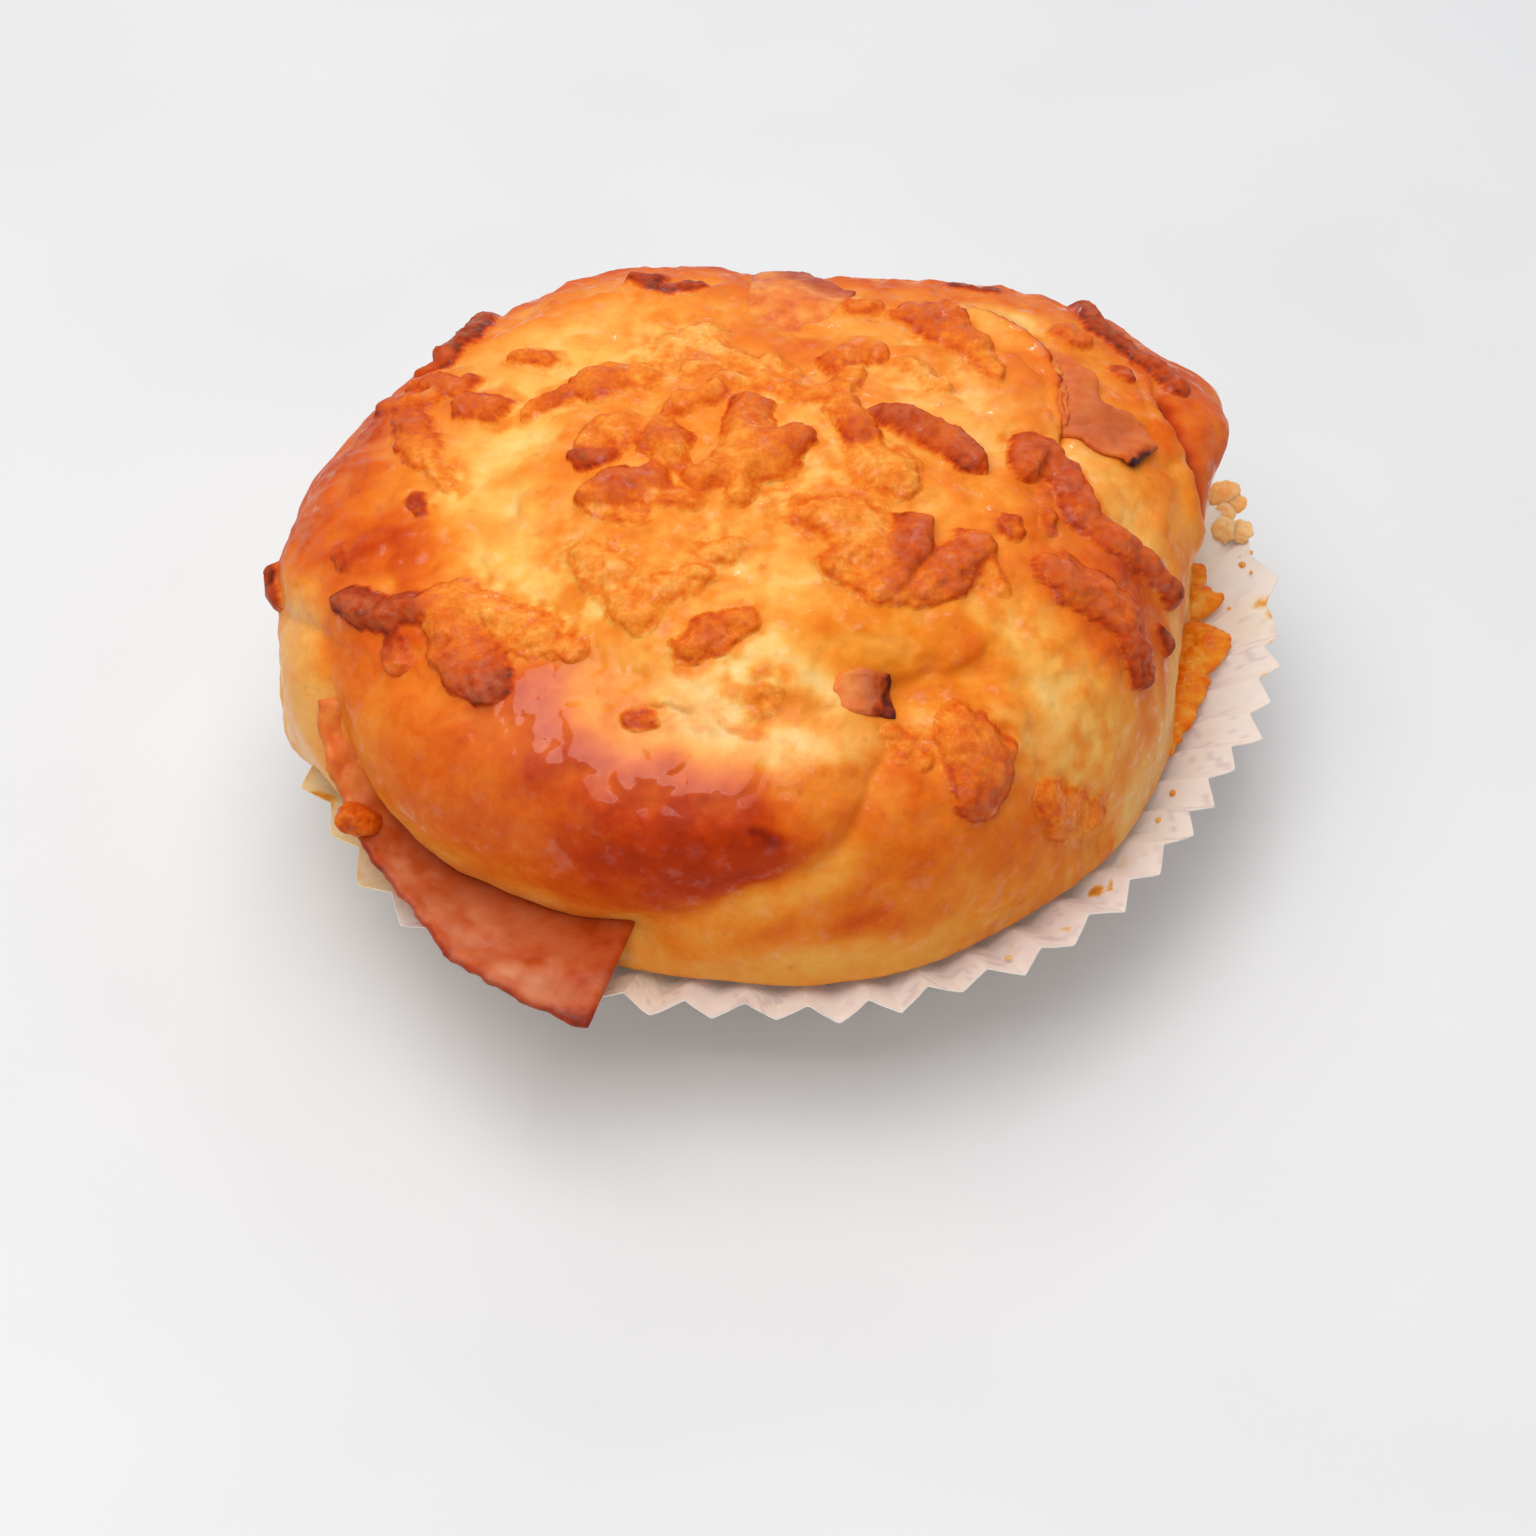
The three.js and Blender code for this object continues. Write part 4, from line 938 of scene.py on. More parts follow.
def crust_material(name, cheese):
    m, t, b = material(name)
    k = Tree(t)
    # bake is how far the crust is baked, and it also carries painted shade: darker in the creases and round the cheese
    # lumps' edges
    bake = k.attr("bake")
    broad = k.math("SUBTRACT", k.noise(5.5, 3, 0.6), 0.5)
    fine = k.math("SUBTRACT", k.noise(1.3, 3, 0.6), 0.5)
    speck = k.math("SUBTRACT", k.noise(0.5, 2, 0.6), 0.5)
    if cheese:
        v = k.math("MULTIPLY_ADD", broad, 0.22, bake)
        v = k.math("MULTIPLY_ADD", fine, 0.34, v)
        v = k.math("MULTIPLY_ADD", speck, 0.24, v, clamp=True)
    else:
        v = k.math("MULTIPLY_ADD", broad, 0.2, bake)
        v = k.math("MULTIPLY_ADD", fine, 0.12, v)
        v = k.math("MULTIPLY_ADD", speck, 0.07, v, clamp=True)
    colour = k.ramp(v, BAKE_RAMP)
    moist = k.ramp(v, WET_RAMP)
    colour = k.mix(k.attr("wet"), colour, moist)
    # a rosy-brown bloom: the toasted crust's own colour at its driest places; on the high tops of the cheese lumps
    # partly painted sheen
    rosy = k.math("MULTIPLY", k.attr("rosy"), k.remap(k.noise(1.0, 3, 0.65), 0.35, 0.62), clamp=True)
    colour = k.mix(k.math("MULTIPLY", rosy, 0.75), colour, lin((206, 112, 70) if cheese else (210, 122, 80)))
    # small dark pores
    pores = k.remap(k.cells(3.4), 0.0, 0.16, 1.0, 0.0)
    colour = k.mix(k.math("MULTIPLY", pores, 0.25, clamp=True), colour, lin((120, 52, 20)))
    t.links.new(colour, b.inputs["Base Color"])
    if cheese:
        rough = k.remap(k.noise(0.8, 3, 0.6), 0.3, 0.7, 0.3, 0.62)
    else:
        rough = k.math("MULTIPLY_ADD", k.attr("gloss"), -0.3, k.remap(k.noise(1.6, 3, 0.6), 0.3, 0.7, 0.42, 0.6))
    t.links.new(rough, b.inputs["Roughness"])
    b.inputs["IOR"].default_value = 1.45
    b.inputs["Specular IOR Level"].default_value = 0.08
    coat = k.remap(k.attr("gloss"), 0.3, 1.0, 0.0, 1.0)
    glint = k.remap(k.noise(2.2, 3, 0.6), 0.53, 0.68, 0.0, 0.7)
    coat = k.math("MAXIMUM", k.math("MULTIPLY", coat, 0.5 if cheese else 1.0), glint)
    t.links.new(coat, b.inputs["Coat Weight"])
    b.inputs["Coat Roughness"].default_value = 0.14 if cheese else 0.085
    b.inputs["Subsurface Weight"].default_value = 0.12
    b.inputs["Subsurface Radius"].default_value = (1.0, 0.42, 0.14)
    b.inputs["Subsurface Scale"].default_value = 0.0022
    if cheese:
        n1 = k.bump(k.noise(0.9, 4, 0.65), 0.75, 0.28)
        n2 = k.bump(k.cells(0.8, "SMOOTH_F1"), 0.35, 0.2, n1)
    else:
        wrinkle = k.noise(1.1, 4, 0.6)
        n1 = k.bump(wrinkle, 0.55, 0.16)
        n2 = k.bump(k.noise(4.0, 3, 0.55), 0.35, 0.5, n1)
    t.links.new(n2, b.inputs["Normal"])
    return m


MAT_CRUST = crust_material("crust", False)
MAT_CHEESE = crust_material("toasted_cheese", True)

# ------------------------------------------------------------------ the bread
theta, counts = rings(0.475, 1.75, 2.2, 4.0)
D, tris = ring_mesh(theta, counts)
r0 = dome_radius(D)
plain = fold_height(D, r0)
P0 = CENTRE + D * (r0 + plain)[:, None]
fine_relief, crease, slit, fold, pocket, over = relief(P0)
film = film_field(P0)
bake, wet, rosy, gloss = paint(P0, plain)
marks = stretch_marks(P0)
lift, film = melted(P0, film)
extra = fine_relief + lift + 0.16 * marks + shine_wrinkles(P0, gloss)
R = bread_radius(D, extra)
P = CENTRE + D * R[:, None]


def settle(bake, wet, rosy, gloss, film, crease, slit, fold, pocket, marks, P):
    """What the cheese film does to the baking; the crease at the layer edge, the slit and the lip's fold are darkened
    as painted shade, the slit partly its own reddish-brown.
    """
    grain = fbm(P, 2.4, 55, 3)
    mottled = film * smooth(grain, -0.6, 0.25)
    bake = bake + (np.maximum(bake, 0.44 + 0.12 * grain) - bake) * mottled
    wet = wet * (1 - 0.5 * mottled)
    rosy = rosy + (0.4 - rosy) * mottled * smooth(fbm(P, 1.6, 57, 2), 0.0, 0.7)
    # painted shade: darker along the crease under the layer edge and in the lip's fold; the slit darker, partly its
    # own reddish-brown tear, partly painted shade
    bake = bake + 0.3 * crease + 0.1 * slit + 0.35 * fold
    bake = bake + 0.1 * marks
    rosy = rosy * (1 - slit)
    return np.clip(bake, 0, 1), np.clip(wet, 0, 1), np.clip(rosy, 0, 1), np.clip(gloss, 0, 1)


bake, wet, rosy, gloss = settle(bake, wet, rosy, gloss, film, crease, slit, fold, pocket, marks, P0)
bread = mesh_object("bread_crust", P, tris, dict(bake=bake, wet=wet, rosy=rosy, gloss=gloss), MAT_CRUST)
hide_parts("bread")
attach(bread, "root")
print("bread", len(tris))

# ------------------------------------------------------------------ the toasted cheese
theta, counts = rings(0.34, 1.9, 0.5, 1.45)
D, tris = ring_mesh(theta, counts)
r0 = dome_radius(D)
plain = fold_height(D, r0)
P0 = CENTRE + D * (r0 + plain)[:, None]
height, tone = blob_field(P0)
keep = (height[tris] > -0.28).any(1)
tris = tris[keep]
D, tris, P0, plain, height, tone = used(D, tris, P0, plain, height, tone)
fine_relief, crease, slit, fold, pocket, over = relief(P0)
film = film_field(P0)
lift, film = melted(P0, film)
cb, cw, cr, cg = paint(P0, plain)
extra = fine_relief + lift + 0.16 * stretch_marks(P0) + shine_wrinkles(P0, cg)
R = bread_radius(D, extra)
cb, cw, cr, cg = settle(cb, cw, cr, cg, film, crease, slit, fold, pocket, stretch_marks(P0) * 0, P0)
up = smooth(height, 0.05, 0.55)
lay = np.maximum(height, -0.3)
top = CENTRE + D * (R + lay)[:, None]
under = CENTRE + D * (R - 1.3)[:, None]
# painted shade and highlight: the lumps' flanks are darkened round their edges as painted shade, and the tops of high
# pale lumps are lightened as painted highlight
flank_shade = smooth(height, -0.05, 0.2) * (1 - smooth(height, 0.3, 0.85))
tone = tone + (0.1 + 0.05 * smooth(tone, 0.45, 0.7)) * flank_shade - 0.05 * smooth(height, 0.5, 1.1) * (1 - smooth(tone, 0.5, 0.75)) + 0.1 * fbm(P0, 2.0, 78, 2)
cheese_bake_and_shade = cb + (tone - cb) * up
cheese_wet = cw * (1 - up) + 0.15 * up
# painted sheen: the high, toasted tops of the lumps turn rosy, partly the cheese's own bloom where it is driest,
# partly painted sheen
dry_top_and_sheen = smooth(height, 0.5, 1.5) * smooth(tone, 0.4, 0.75)
cheese_rosy = cr * (1 - up) + (0.1 + 0.6 * dry_top_and_sheen) * up
V, T = close_skin(top, under, tris)
two = lambda v: np.concatenate([v, v])
cheese = mesh_object(
    "cheese_toasted", V, T,
    dict(bake=two(np.clip(cheese_bake_and_shade, 0, 1)), wet=two(cheese_wet), rosy=two(np.clip(cheese_rosy, 0, 1)), gloss=two(cg)),
    MAT_CHEESE,
)
names = [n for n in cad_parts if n.startswith("cheese_") and n != "cheese_frill"]
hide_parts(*names)
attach(cheese, "root")
print("cheese", len(T))

# ------------------------------------------------------------------ slices of ham
HAM_THICKNESS = 1.5
HAM_FRONT = dict(
    free=[(-152, 13.4, 0.9), (-148, 8.4, 1.2), (-144.5, 4.4, 1.4), (-140, 1.2, 2.6), (-133.3, 0.2, 4.6),
          (-127.4, -0.7, 6.4), (-121.6, -1.2, 8.4), (-113.7, -1.8, 9.3), (-106.4, -2.4, 9.2)],
    entry=[(-151.5, 13.6, -2.2), (-147.4, 9.4, -3.4), (-143.2, 5.0, -4.0), (-138.6, 1.4, -4.4), (-133, -0.9, -4.6),
           (-127.5, -1.5, -4.6), (-120.5, -1.2, -4.5), (-113, -0.4, -4.0), (-105.5, 0.6, -3.4)],
    hidden=[(-149, 13, -13), (-146, 9, -14), (-142, 6, -15), (-137, 2.5, -16), (-132, 0.5, -17), (-127, 0, -17),
            (-120, 0, -17), (-113, 0.5, -16), (-106, 1, -15)],
)


def spline(points, u):
    """A smooth curve through points, as the CAD draws it."""
    points = np.asarray(points, float)
    n = len(points)
    pad = np.concatenate([[2 * points[0] - points[1]], points, [2 * points[-1] - points[-2]]])
    s = np.clip(u, 0, 1) * (n - 1)
    i = np.minimum(s.astype(int), n - 2)
    w = (s - i)[:, None]
    x0, x1, x2, x3 = pad[i], pad[i + 1], pad[i + 2], pad[i + 3]
    step = lambda a, b: np.maximum(np.linalg.norm(b - a, axis=1) ** 0.5, 1e-4)[:, None]
    d0, d1, d2 = step(x0, x1), step(x1, x2), step(x2, x3)
    t1 = ((x1 - x0) / d0 - (x2 - x0) / (d0 + d1) + (x2 - x1) / d1) * d1
    t2 = ((x2 - x1) / d1 - (x3 - x1) / (d1 + d2) + (x3 - x2) / d2) * d1
    return x1 + t1 * w + (-3 * x1 + 3 * x2 - 2 * t1 - t2) * w**2 + (2 * x1 - 2 * x2 + t1 + t2) * w**3


def sheet(mid, thickness, nu, nv):
    """A closed slice from its middle surface, given on a grid, with rounded edges."""
    du, dv = np.gradient(mid, axis=0), np.gradient(mid, axis=1)
    normal = np.cross(du, dv)
    normal /= np.maximum(np.linalg.norm(normal, axis=2), 1e-9)[:, :, None]
    flat = mid.reshape(-1, 3)
    thick = np.asarray(thickness).reshape(-1)[:, None] / 2
    nf = normal.reshape(-1, 3)
    i, j = np.meshgrid(np.arange(nu - 1), np.arange(nv - 1), indexing="ij")
    a = (i * nv + j).ravel()
    b, c, d = a + nv, a + nv + 1, a + 1
    tris = np.concatenate([np.stack([a, b, c], 1), np.stack([a, c, d], 1)])
    return close_skin(flat + nf * thick, flat - nf * thick, tris)


def ham_material():
    m, t, b = material("ham")
    k = Tree(t)
    fat = k.remap(k.noise(4.0, 4, 0.6, 1.2), 0.5, 0.72)
    grain = k.noise(0.8, 3, 0.6, 0.4, (1, 2.2, 1))
    base = k.mix(grain, lin((182, 96, 58)), lin((200, 116, 76)))
    base = k.mix(k.math("MULTIPLY", fat, 0.3), base, lin((230, 150, 104)))
    # browning from the toast attribute; on the front slice toast also carries painted shade, darker where the slice
    # tucks under the dough
    browned_and_shade = k.ramp(
        k.math("MULTIPLY_ADD", k.math("SUBTRACT", k.noise(1.4, 3, 0.6), 0.5), 0.5, k.attr("toast"), clamp=True),
        [(0.0, (204, 102, 48)), (0.4, (190, 76, 18)), (0.65, (162, 52, 10)), (0.85, (110, 32, 16)), (1.0, (58, 18, 14))],
    )
    colour = k.mix(k.remap(k.attr("toast"), 0.05, 0.45), base, browned_and_shade)
    colour = k.mix(k.math("MULTIPLY", k.attr("pale"), 0.8), colour, lin((230, 164, 122)))
    # where cheese has melted over it
    over_ham = k.ramp(k.noise(2.4, 4, 0.6), [(0.3, (242, 152, 58)), (0.5, (234, 122, 38)), (0.7, (218, 94, 28))])
    veil = k.math("MULTIPLY_ADD", k.math("SUBTRACT", k.noise(1.8, 3, 0.6), 0.5), 0.6, k.attr("film"), clamp=True)
    colour = k.mix(k.math("MULTIPLY", veil, k.remap(k.attr("film"), 0.0, 0.1)), colour, over_ham)
    t.links.new(colour, b.inputs["Base Color"])
    t.links.new(k.remap(k.noise(1.2, 3, 0.6), 0.3, 0.7, 0.36, 0.6), b.inputs["Roughness"])
    b.inputs["IOR"].default_value = 1.42
    b.inputs["Specular IOR Level"].default_value = 0.3
    b.inputs["Coat Weight"].default_value = 0.07
    b.inputs["Coat Roughness"].default_value = 0.2
    b.inputs["Subsurface Weight"].default_value = 0.18
    b.inputs["Subsurface Radius"].default_value = (1.0, 0.35, 0.2)
    b.inputs["Subsurface Scale"].default_value = 0.002
    n1 = k.bump(k.noise(0.7, 4, 0.6), 0.5, 0.12)
    t.links.new(k.bump(k.noise(2.6, 3, 0.55), 0.4, 0.3, n1), b.inputs["Normal"])
    return m


MAT_HAM = ham_material()


def add_ham(name, node, mid, thickness, toast, pale, film_=None):
    film_ = np.zeros(mid.shape[:2]) if film_ is None else film_
    nu, nv = mid.shape[:2]
    V, T = sheet(mid, thickness, nu, nv)
    two = lambda v: np.concatenate([v.ravel(), v.ravel()])
    o = mesh_object(name, V, T, dict(toast=two(np.clip(toast, 0, 1)), pale=two(np.clip(pale, 0, 1)), film=two(np.clip(film_, 0, 1))), MAT_HAM)
    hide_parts(node)
    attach(o, "root")
    return o


# the large slice under the front roll
nu, nv = 150, 64
us, vs = np.linspace(0, 1, nu), np.linspace(0, 1, nv)
rows = []
for key in ("free", "entry", "hidden"):
    pts = np.array(HAM_FRONT[key], float)
    Dk = np.stack([unit(a, e) for a, e, _ in pts])
    Pk = CENTRE + Dk * (dome_radius(Dk) + pts[:, 2])[:, None]
    rows.append(spline(Pk, us))
a, b_, c = rows
k_ = np.linalg.norm(a - b_, axis=1) / (np.linalg.norm(a - b_, axis=1) + np.linalg.norm(b_ - c, axis=1))
ragged = noise(np.stack([us * 90, np.zeros(nu), np.zeros(nu)], 1), 5.0, 5) * 0.03 + noise(
    np.stack([us * 90, np.zeros(nu), np.zeros(nu)], 1), 1.6, 6) * 0.009
mid = np.zeros((nu, nv, 3))
for j, v in enumerate(vs):
    vv = v + ragged * (1 - v) ** 3 + 0.004
    w0 = (vv - k_) * (vv - 1) / k_
    w1 = vv * (vv - 1) / (k_ * (k_ - 1))
    w2 = vv * (vv - k_) / (1 - k_)
    mid[:, j] = a * w0[:, None] + b_ * w1[:, None] + c * w2[:, None]
U, Vv = np.meshgrid(us, vs, indexing="ij")
F = mid.reshape(-1, 3)
du, dv = np.gradient(mid, axis=0), np.gradient(mid, axis=1)
nrm = np.cross(du, dv)
nrm /= np.linalg.norm(nrm, axis=2)[:, :, None]
nrm *= np.sign(nrm[..., 2:3].mean())
out_part = 1 - smooth(Vv, 0.18, 0.34)
wave = (fbm(F, 9.0, 31, 2) * 0.6 + np.abs(fbm(F, 5.0, 34, 2)) * 0.5 + fbm(F, 2.5, 33, 2) * 0.2).reshape(nu, nv) * out_part
mid = mid + nrm * (wave - 0.1)[:, :, None]
edge_in = np.minimum(Vv / 0.03, np.minimum(U, 1 - U) / 0.012)
thick = 1.15 * np.clip(0.35 + 0.65 * np.sqrt(np.clip(edge_in, 0, 1)), 0, 1)
rim = np.exp(-Vv / 0.04) * 0.42 + np.exp(-Vv / 0.16) * 0.26 + np.exp(-(1 - U) / 0.02) * 0.15 + np.exp(-U / 0.02) * 0.2
tip = smooth(U, 0.9, 1.0) * np.exp(-Vv / 0.05)
# painted shade: toast is raised, and the pale streaks held back, towards where the slice tucks under the dough and
# beneath it
shade = smooth(Vv + 0.06 * fbm(F, 6, 39, 2).reshape(nu, nv), 0.06, 0.2) * 0.3
toast = rim + 0.25 * tip + 0.12 * smooth(U, 0.7, 0.95) + shade + (fbm(F, 5, 35, 3).reshape(nu, nv)) * 0.24 + 0.2 * np.exp(-U / 0.018)
pale = np.clip(fbm(F, 4.5, 37, 3).reshape(nu, nv) * 1.3 + 0.14, 0, 1) * out_part * (1 - rim) * (1 - 1.4 * shade) + 0.4 * (1 - smooth(U, 0.12, 0.3)) * (1 - rim)
add_ham("ham_front_slice", "ham_front", mid, thick, np.minimum(toast, 0.72), pale, 0.75 * (1 - smooth(U, 0.15, 0.42)))
FRONT_SLICE = mid


def surface(P):
    """The same places on the finished crust, and the outward direction there."""
    q = P - CENTRE
    D = q / np.linalg.norm(q, axis=1)[:, None]
    r0 = dome_radius(D)
    P0 = CENTRE + D * (r0 + fold_height(D, r0))[:, None]
    return CENTRE + D * bread_radius(D, relief(P0)[0])[:, None], D


def laid_slice(far, near, nu, nv, lift, seed):
    """A slice that lies on the crust between two rows of pixels; lift(u, v) in mm."""
    u = np.linspace(0, 1, nu)
    far3, near3 = np.pad(far, ((0, 0), (0, 1))), np.pad(near, ((0, 0), (0, 1)))
    A, Bq = spline(far3, u)[:, :2], spline(near3, u)[:, :2]
    v = np.linspace(0, 1, nv)
    px = A[:, None] * (1 - v)[None, :, None] + Bq[:, None] * v[None, :, None]
    flat = np.pad(px.reshape(-1, 2), ((0, 0), (0, 1)))
    for size_, amount in ((26.0, 3.4), (9.0, 1.6)):
        shift = np.stack([noise(flat, size_, seed + 50), noise(flat, size_, seed + 51)], 1)
        px = px + amount * shift.reshape(nu, nv, 2)
    P = cast(px.reshape(-1, 2))
    S, D = surface(P)
    U, Vv = np.meshgrid(u, v, indexing="ij")
    grid = S.reshape(nu, nv, 3)
    # a slice bridges small hollows
    for _ in range(6):
        grid[1:-1, 1:-1] = 0.5 * grid[1:-1, 1:-1] + 0.125 * (
            grid[:-2, 1:-1] + grid[2:, 1:-1] + grid[1:-1, :-2] + grid[1:-1, 2:])
    Dg = D.reshape(nu, nv, 3)
    wave = fbm(grid.reshape(-1, 3), 4.0, seed, 2).reshape(nu, nv) * 0.25
    return grid + Dg * (lift(U, Vv) + wave)[:, :, None], U, Vv


def rounded(U, Vv, eu=0.05, ev=0.08, thick=1.0):
    e = np.minimum(np.minimum(U, 1 - U) / eu, np.minimum(Vv, 1 - Vv) / ev)
    return thick * (0.2 + 0.8 * np.sqrt(np.clip(e, 0, 1)))


# right slice, out from under the thin top layer
far = [(1036, 350), (1060, 364), (1088, 382), (1101, 407), (1119, 416), (1139, 434), (1146, 455)]
near = [(1040, 356), (1052, 386), (1054, 412), (1060, 434), (1083, 444), (1107, 460), (1127, 470)]
mid, U, Vv = laid_slice(far, near, 90, 44, lambda u, v: 0.35 + 0.55 * smooth(u, 0.4, 1.0) + 0.25 * (1 - v), 81)
F = mid.reshape(-1, 3)
burn = smooth(U + 0.06 * (Vv - 0.5) + 0.03 * fbm(F, 1.5, 83, 2).reshape(U.shape), 0.91, 1.0)
toast = 0.36 + 0.2 * np.exp(-Vv / 0.1) * smooth(fbm(F, 2, 82, 2).reshape(U.shape), -0.5, 0.4) + 0.75 * burn**1.5
veil = 0.55 + 0.3 * np.exp(-Vv / 0.08) + 0.3 * np.exp(-(1 - Vv) / 0.1) - 0.4 * smooth(U, 0.3, 0.55) * (1 - smooth(U, 0.75, 0.92))
add_ham("ham_right_slice", "ham_right", mid, rounded(U, Vv), toast, np.zeros_like(U), veil * (1 - burn))

# back slice, partly under a film of cheese
far = [(755, 271), (790, 272), (822, 282), (856, 297)]
near = [(740, 338), (768, 343), (800, 338), (836, 318)]
mid, U, Vv = laid_slice(far, near, 80, 60, lambda u, v: 0.3 - 0.8 * smooth(v, 0.3, 0.85) - 0.4 * np.exp(-u / 0.1) - 0.35 * np.exp(-(1 - u) / 0.1) + 0.2 * np.exp(-v / 0.08), 84)
F = mid.reshape(-1, 3)
toast = 0.42 + 0.15 * np.exp(-Vv / 0.08) + 0.2 * np.exp(-U / 0.05) + 0.1 * smooth(Vv, 0.3, 0.8) + 0.2 * fbm(F, 4.0, 85, 3).reshape(U.shape)
pale = np.zeros_like(U)
veil = 0.95 * smooth(Vv + 0.16 * (0.5 - U) + 0.1 * fbm(F, 5.0, 86, 2).reshape(U.shape), 0.06, 0.3)
add_ham("ham_back_slice", "ham_back", mid, rounded(U, Vv, 0.08, 0.08, 0.8), toast, pale, veil)

# middle slice, in the fold between the coils: a pale band, a hollow, then a raised burnt end
far = [(690, 702), (728, 698), (764, 690), (800, 680), (835, 673), (866, 669), (892, 674)]
near = [(698, 714), (733, 722), (768, 726), (802, 722), (838, 712), (868, 715), (894, 718)]


def middle_lift(u, v):
    tip_ = smooth(u, 0.5, 0.95)
    edge = np.exp(-v / 0.12) + np.exp(-(1 - v) / 0.12) + np.exp(-u / 0.08)
    hollow_ = np.exp(-(((u - 0.5) / 0.11) ** 2 + ((v - 0.3) / 0.33) ** 2))
    return -1.5 + 2.6 * smooth(u, 0.42, 0.9) * (1 - 0.3 * v) - 0.5 * edge * (1 - tip_) - 0.3 * hollow_


mid, U, Vv = laid_slice(far, near, 130, 60, middle_lift, 87)
F = mid.reshape(-1, 3)
burn = smooth(U + 0.08 * (Vv - 0.5) + 0.1 * fbm(F, 2.2, 89, 3).reshape(U.shape), 0.84, 0.97)
# painted shade: the slice is kept from going pale in its hollow, so the hollow reads darker
hollow = np.exp(-(((U - 0.48) / 0.14) ** 2 + ((Vv - 0.3) / 0.4) ** 2))
toast = 0.22 + 0.7 * burn + 0.12 * np.exp(-Vv / 0.15) + 0.25 * fbm(F, 1.8, 88, 3).reshape(U.shape)
pale = (0.8 - 0.8 * smooth(U, 0.45, 0.7)) * (1 - hollow) * (1 - burn)
veil = np.clip(1.0 - smooth(U, 0.66, 0.86) + 0.25 * np.exp(-Vv / 0.15), 0, 1) * (1 - burn)
add_ham("ham_centre_slice", "ham_centre", mid, rounded(U, Vv, 0.03, 0.12, 0.8), toast, pale, veil)

# ------------------------------------------------------------------ paper case
# the pleats' outer folds by azimuth, as the photograph shows them in front and at the right
TIPS = [-104.8, -98.0, -90.7, -83.6, -76.4, -68.7, -61.1, -53.6, -45.1, -37.4, -29.5, -23.6, -16.3, -10.6, -3.9, 2.1, 7.6, 16.9]
PLEATS = 48
rest_of = PLEATS - (len(TIPS) - 1)
more = [TIPS[-1] + (360 + TIPS[0] - TIPS[-1]) * i / rest_of for i in range(1, rest_of)]
rng = np.random.default_rng(7)
more = [m_ + d for m_, d in zip(more, rng.uniform(-0.9, 0.9, len(more)))]
FOLD_AT = np.radians(np.array(TIPS + more + [TIPS[0] + 360.0]))
PER = 16  # columns across a pleat
s = np.arange(PLEATS * PER) / PER
col_az = np.interp(s, np.arange(PLEATS + 1), FOLD_AT)
tri = 1 - 4 * np.abs(((s + 0.5) % 1.0) - 0.5)  # +1 at an outer fold, -1 at an inner one
soft = np.clip(tri * 1.06, -1, 1) - 0.06 * tri
pleat_id = np.floor(s).astype(int)
depth = 1 + rng.uniform(-0.16, 0.16, PLEATS)
rise = rng.uniform(-0.35, 0.15, PLEATS)
LEVELS = np.linspace(0, 1, 44) ** 0.7
cols, rows_n = len(s), len(LEVELS)
Pm = np.zeros((cols, rows_n, 3))
for j, lv in enumerate(LEVELS):
    d_ = (depth[pleat_id] * (1 - (s % 1)) + depth[(pleat_id + 1) % PLEATS] * (s % 1))
    top_z = rim_height(col_az) + (rise[pleat_id] * (1 - (s % 1)) + rise[(pleat_id + 1) % PLEATS] * (s % 1)) - 0.1
    z = top_z * lv
    r = wall_radius(col_az, z) + soft * d_ * (PLEAT_BASE + (0.85 * PLEAT_RIM - PLEAT_BASE) * lv)
    z = z - soft * d_ * PLEAT_RISE * lv**FLARE
    Pm[:, j] = np.stack([r * np.cos(col_az), r * np.sin(col_az), z + 0.08], 1)
F = Pm.reshape(-1, 3)
crinkle = fbm(F, 4.5, 101, 3).reshape(cols, rows_n) * 0.22 + fbm(F, 1.6, 104, 2).reshape(cols, rows_n) * 0.07
crinkle *= np.clip(LEVELS * 4, 0, 1)[None, :]
radial = Pm.copy()
radial[..., 2] = 0
radial /= np.linalg.norm(radial, axis=2)[:, :, None]
# square to the flaring wall, outwards and down
slope = (rim_radius(col_az) - BASE_RADIUS)[:, None] * 0.5 * (1 + FLARE * LEVELS[None, :] ** (FLARE - 1)) / rim_height(col_az)[:, None]
square = radial - slope[:, :, None] * np.array([0, 0, 1.0])
square /= np.linalg.norm(square, axis=2)[:, :, None]
Pm = Pm + square * crinkle[:, :, None]
HALF_PAPER = 0.08


def wall_skin(offset):
    return (Pm + square * offset).reshape(-1, 3)


i, j = np.meshgrid(np.arange(cols), np.arange(rows_n - 1), indexing="ij")
a = (i * rows_n + j).ravel()
b_ = (((i + 1) % cols) * rows_n + j).ravel()
wall = np.concatenate([np.stack([a, b_, b_ + 1], 1), np.stack([a, b_ + 1, a + 1], 1)])
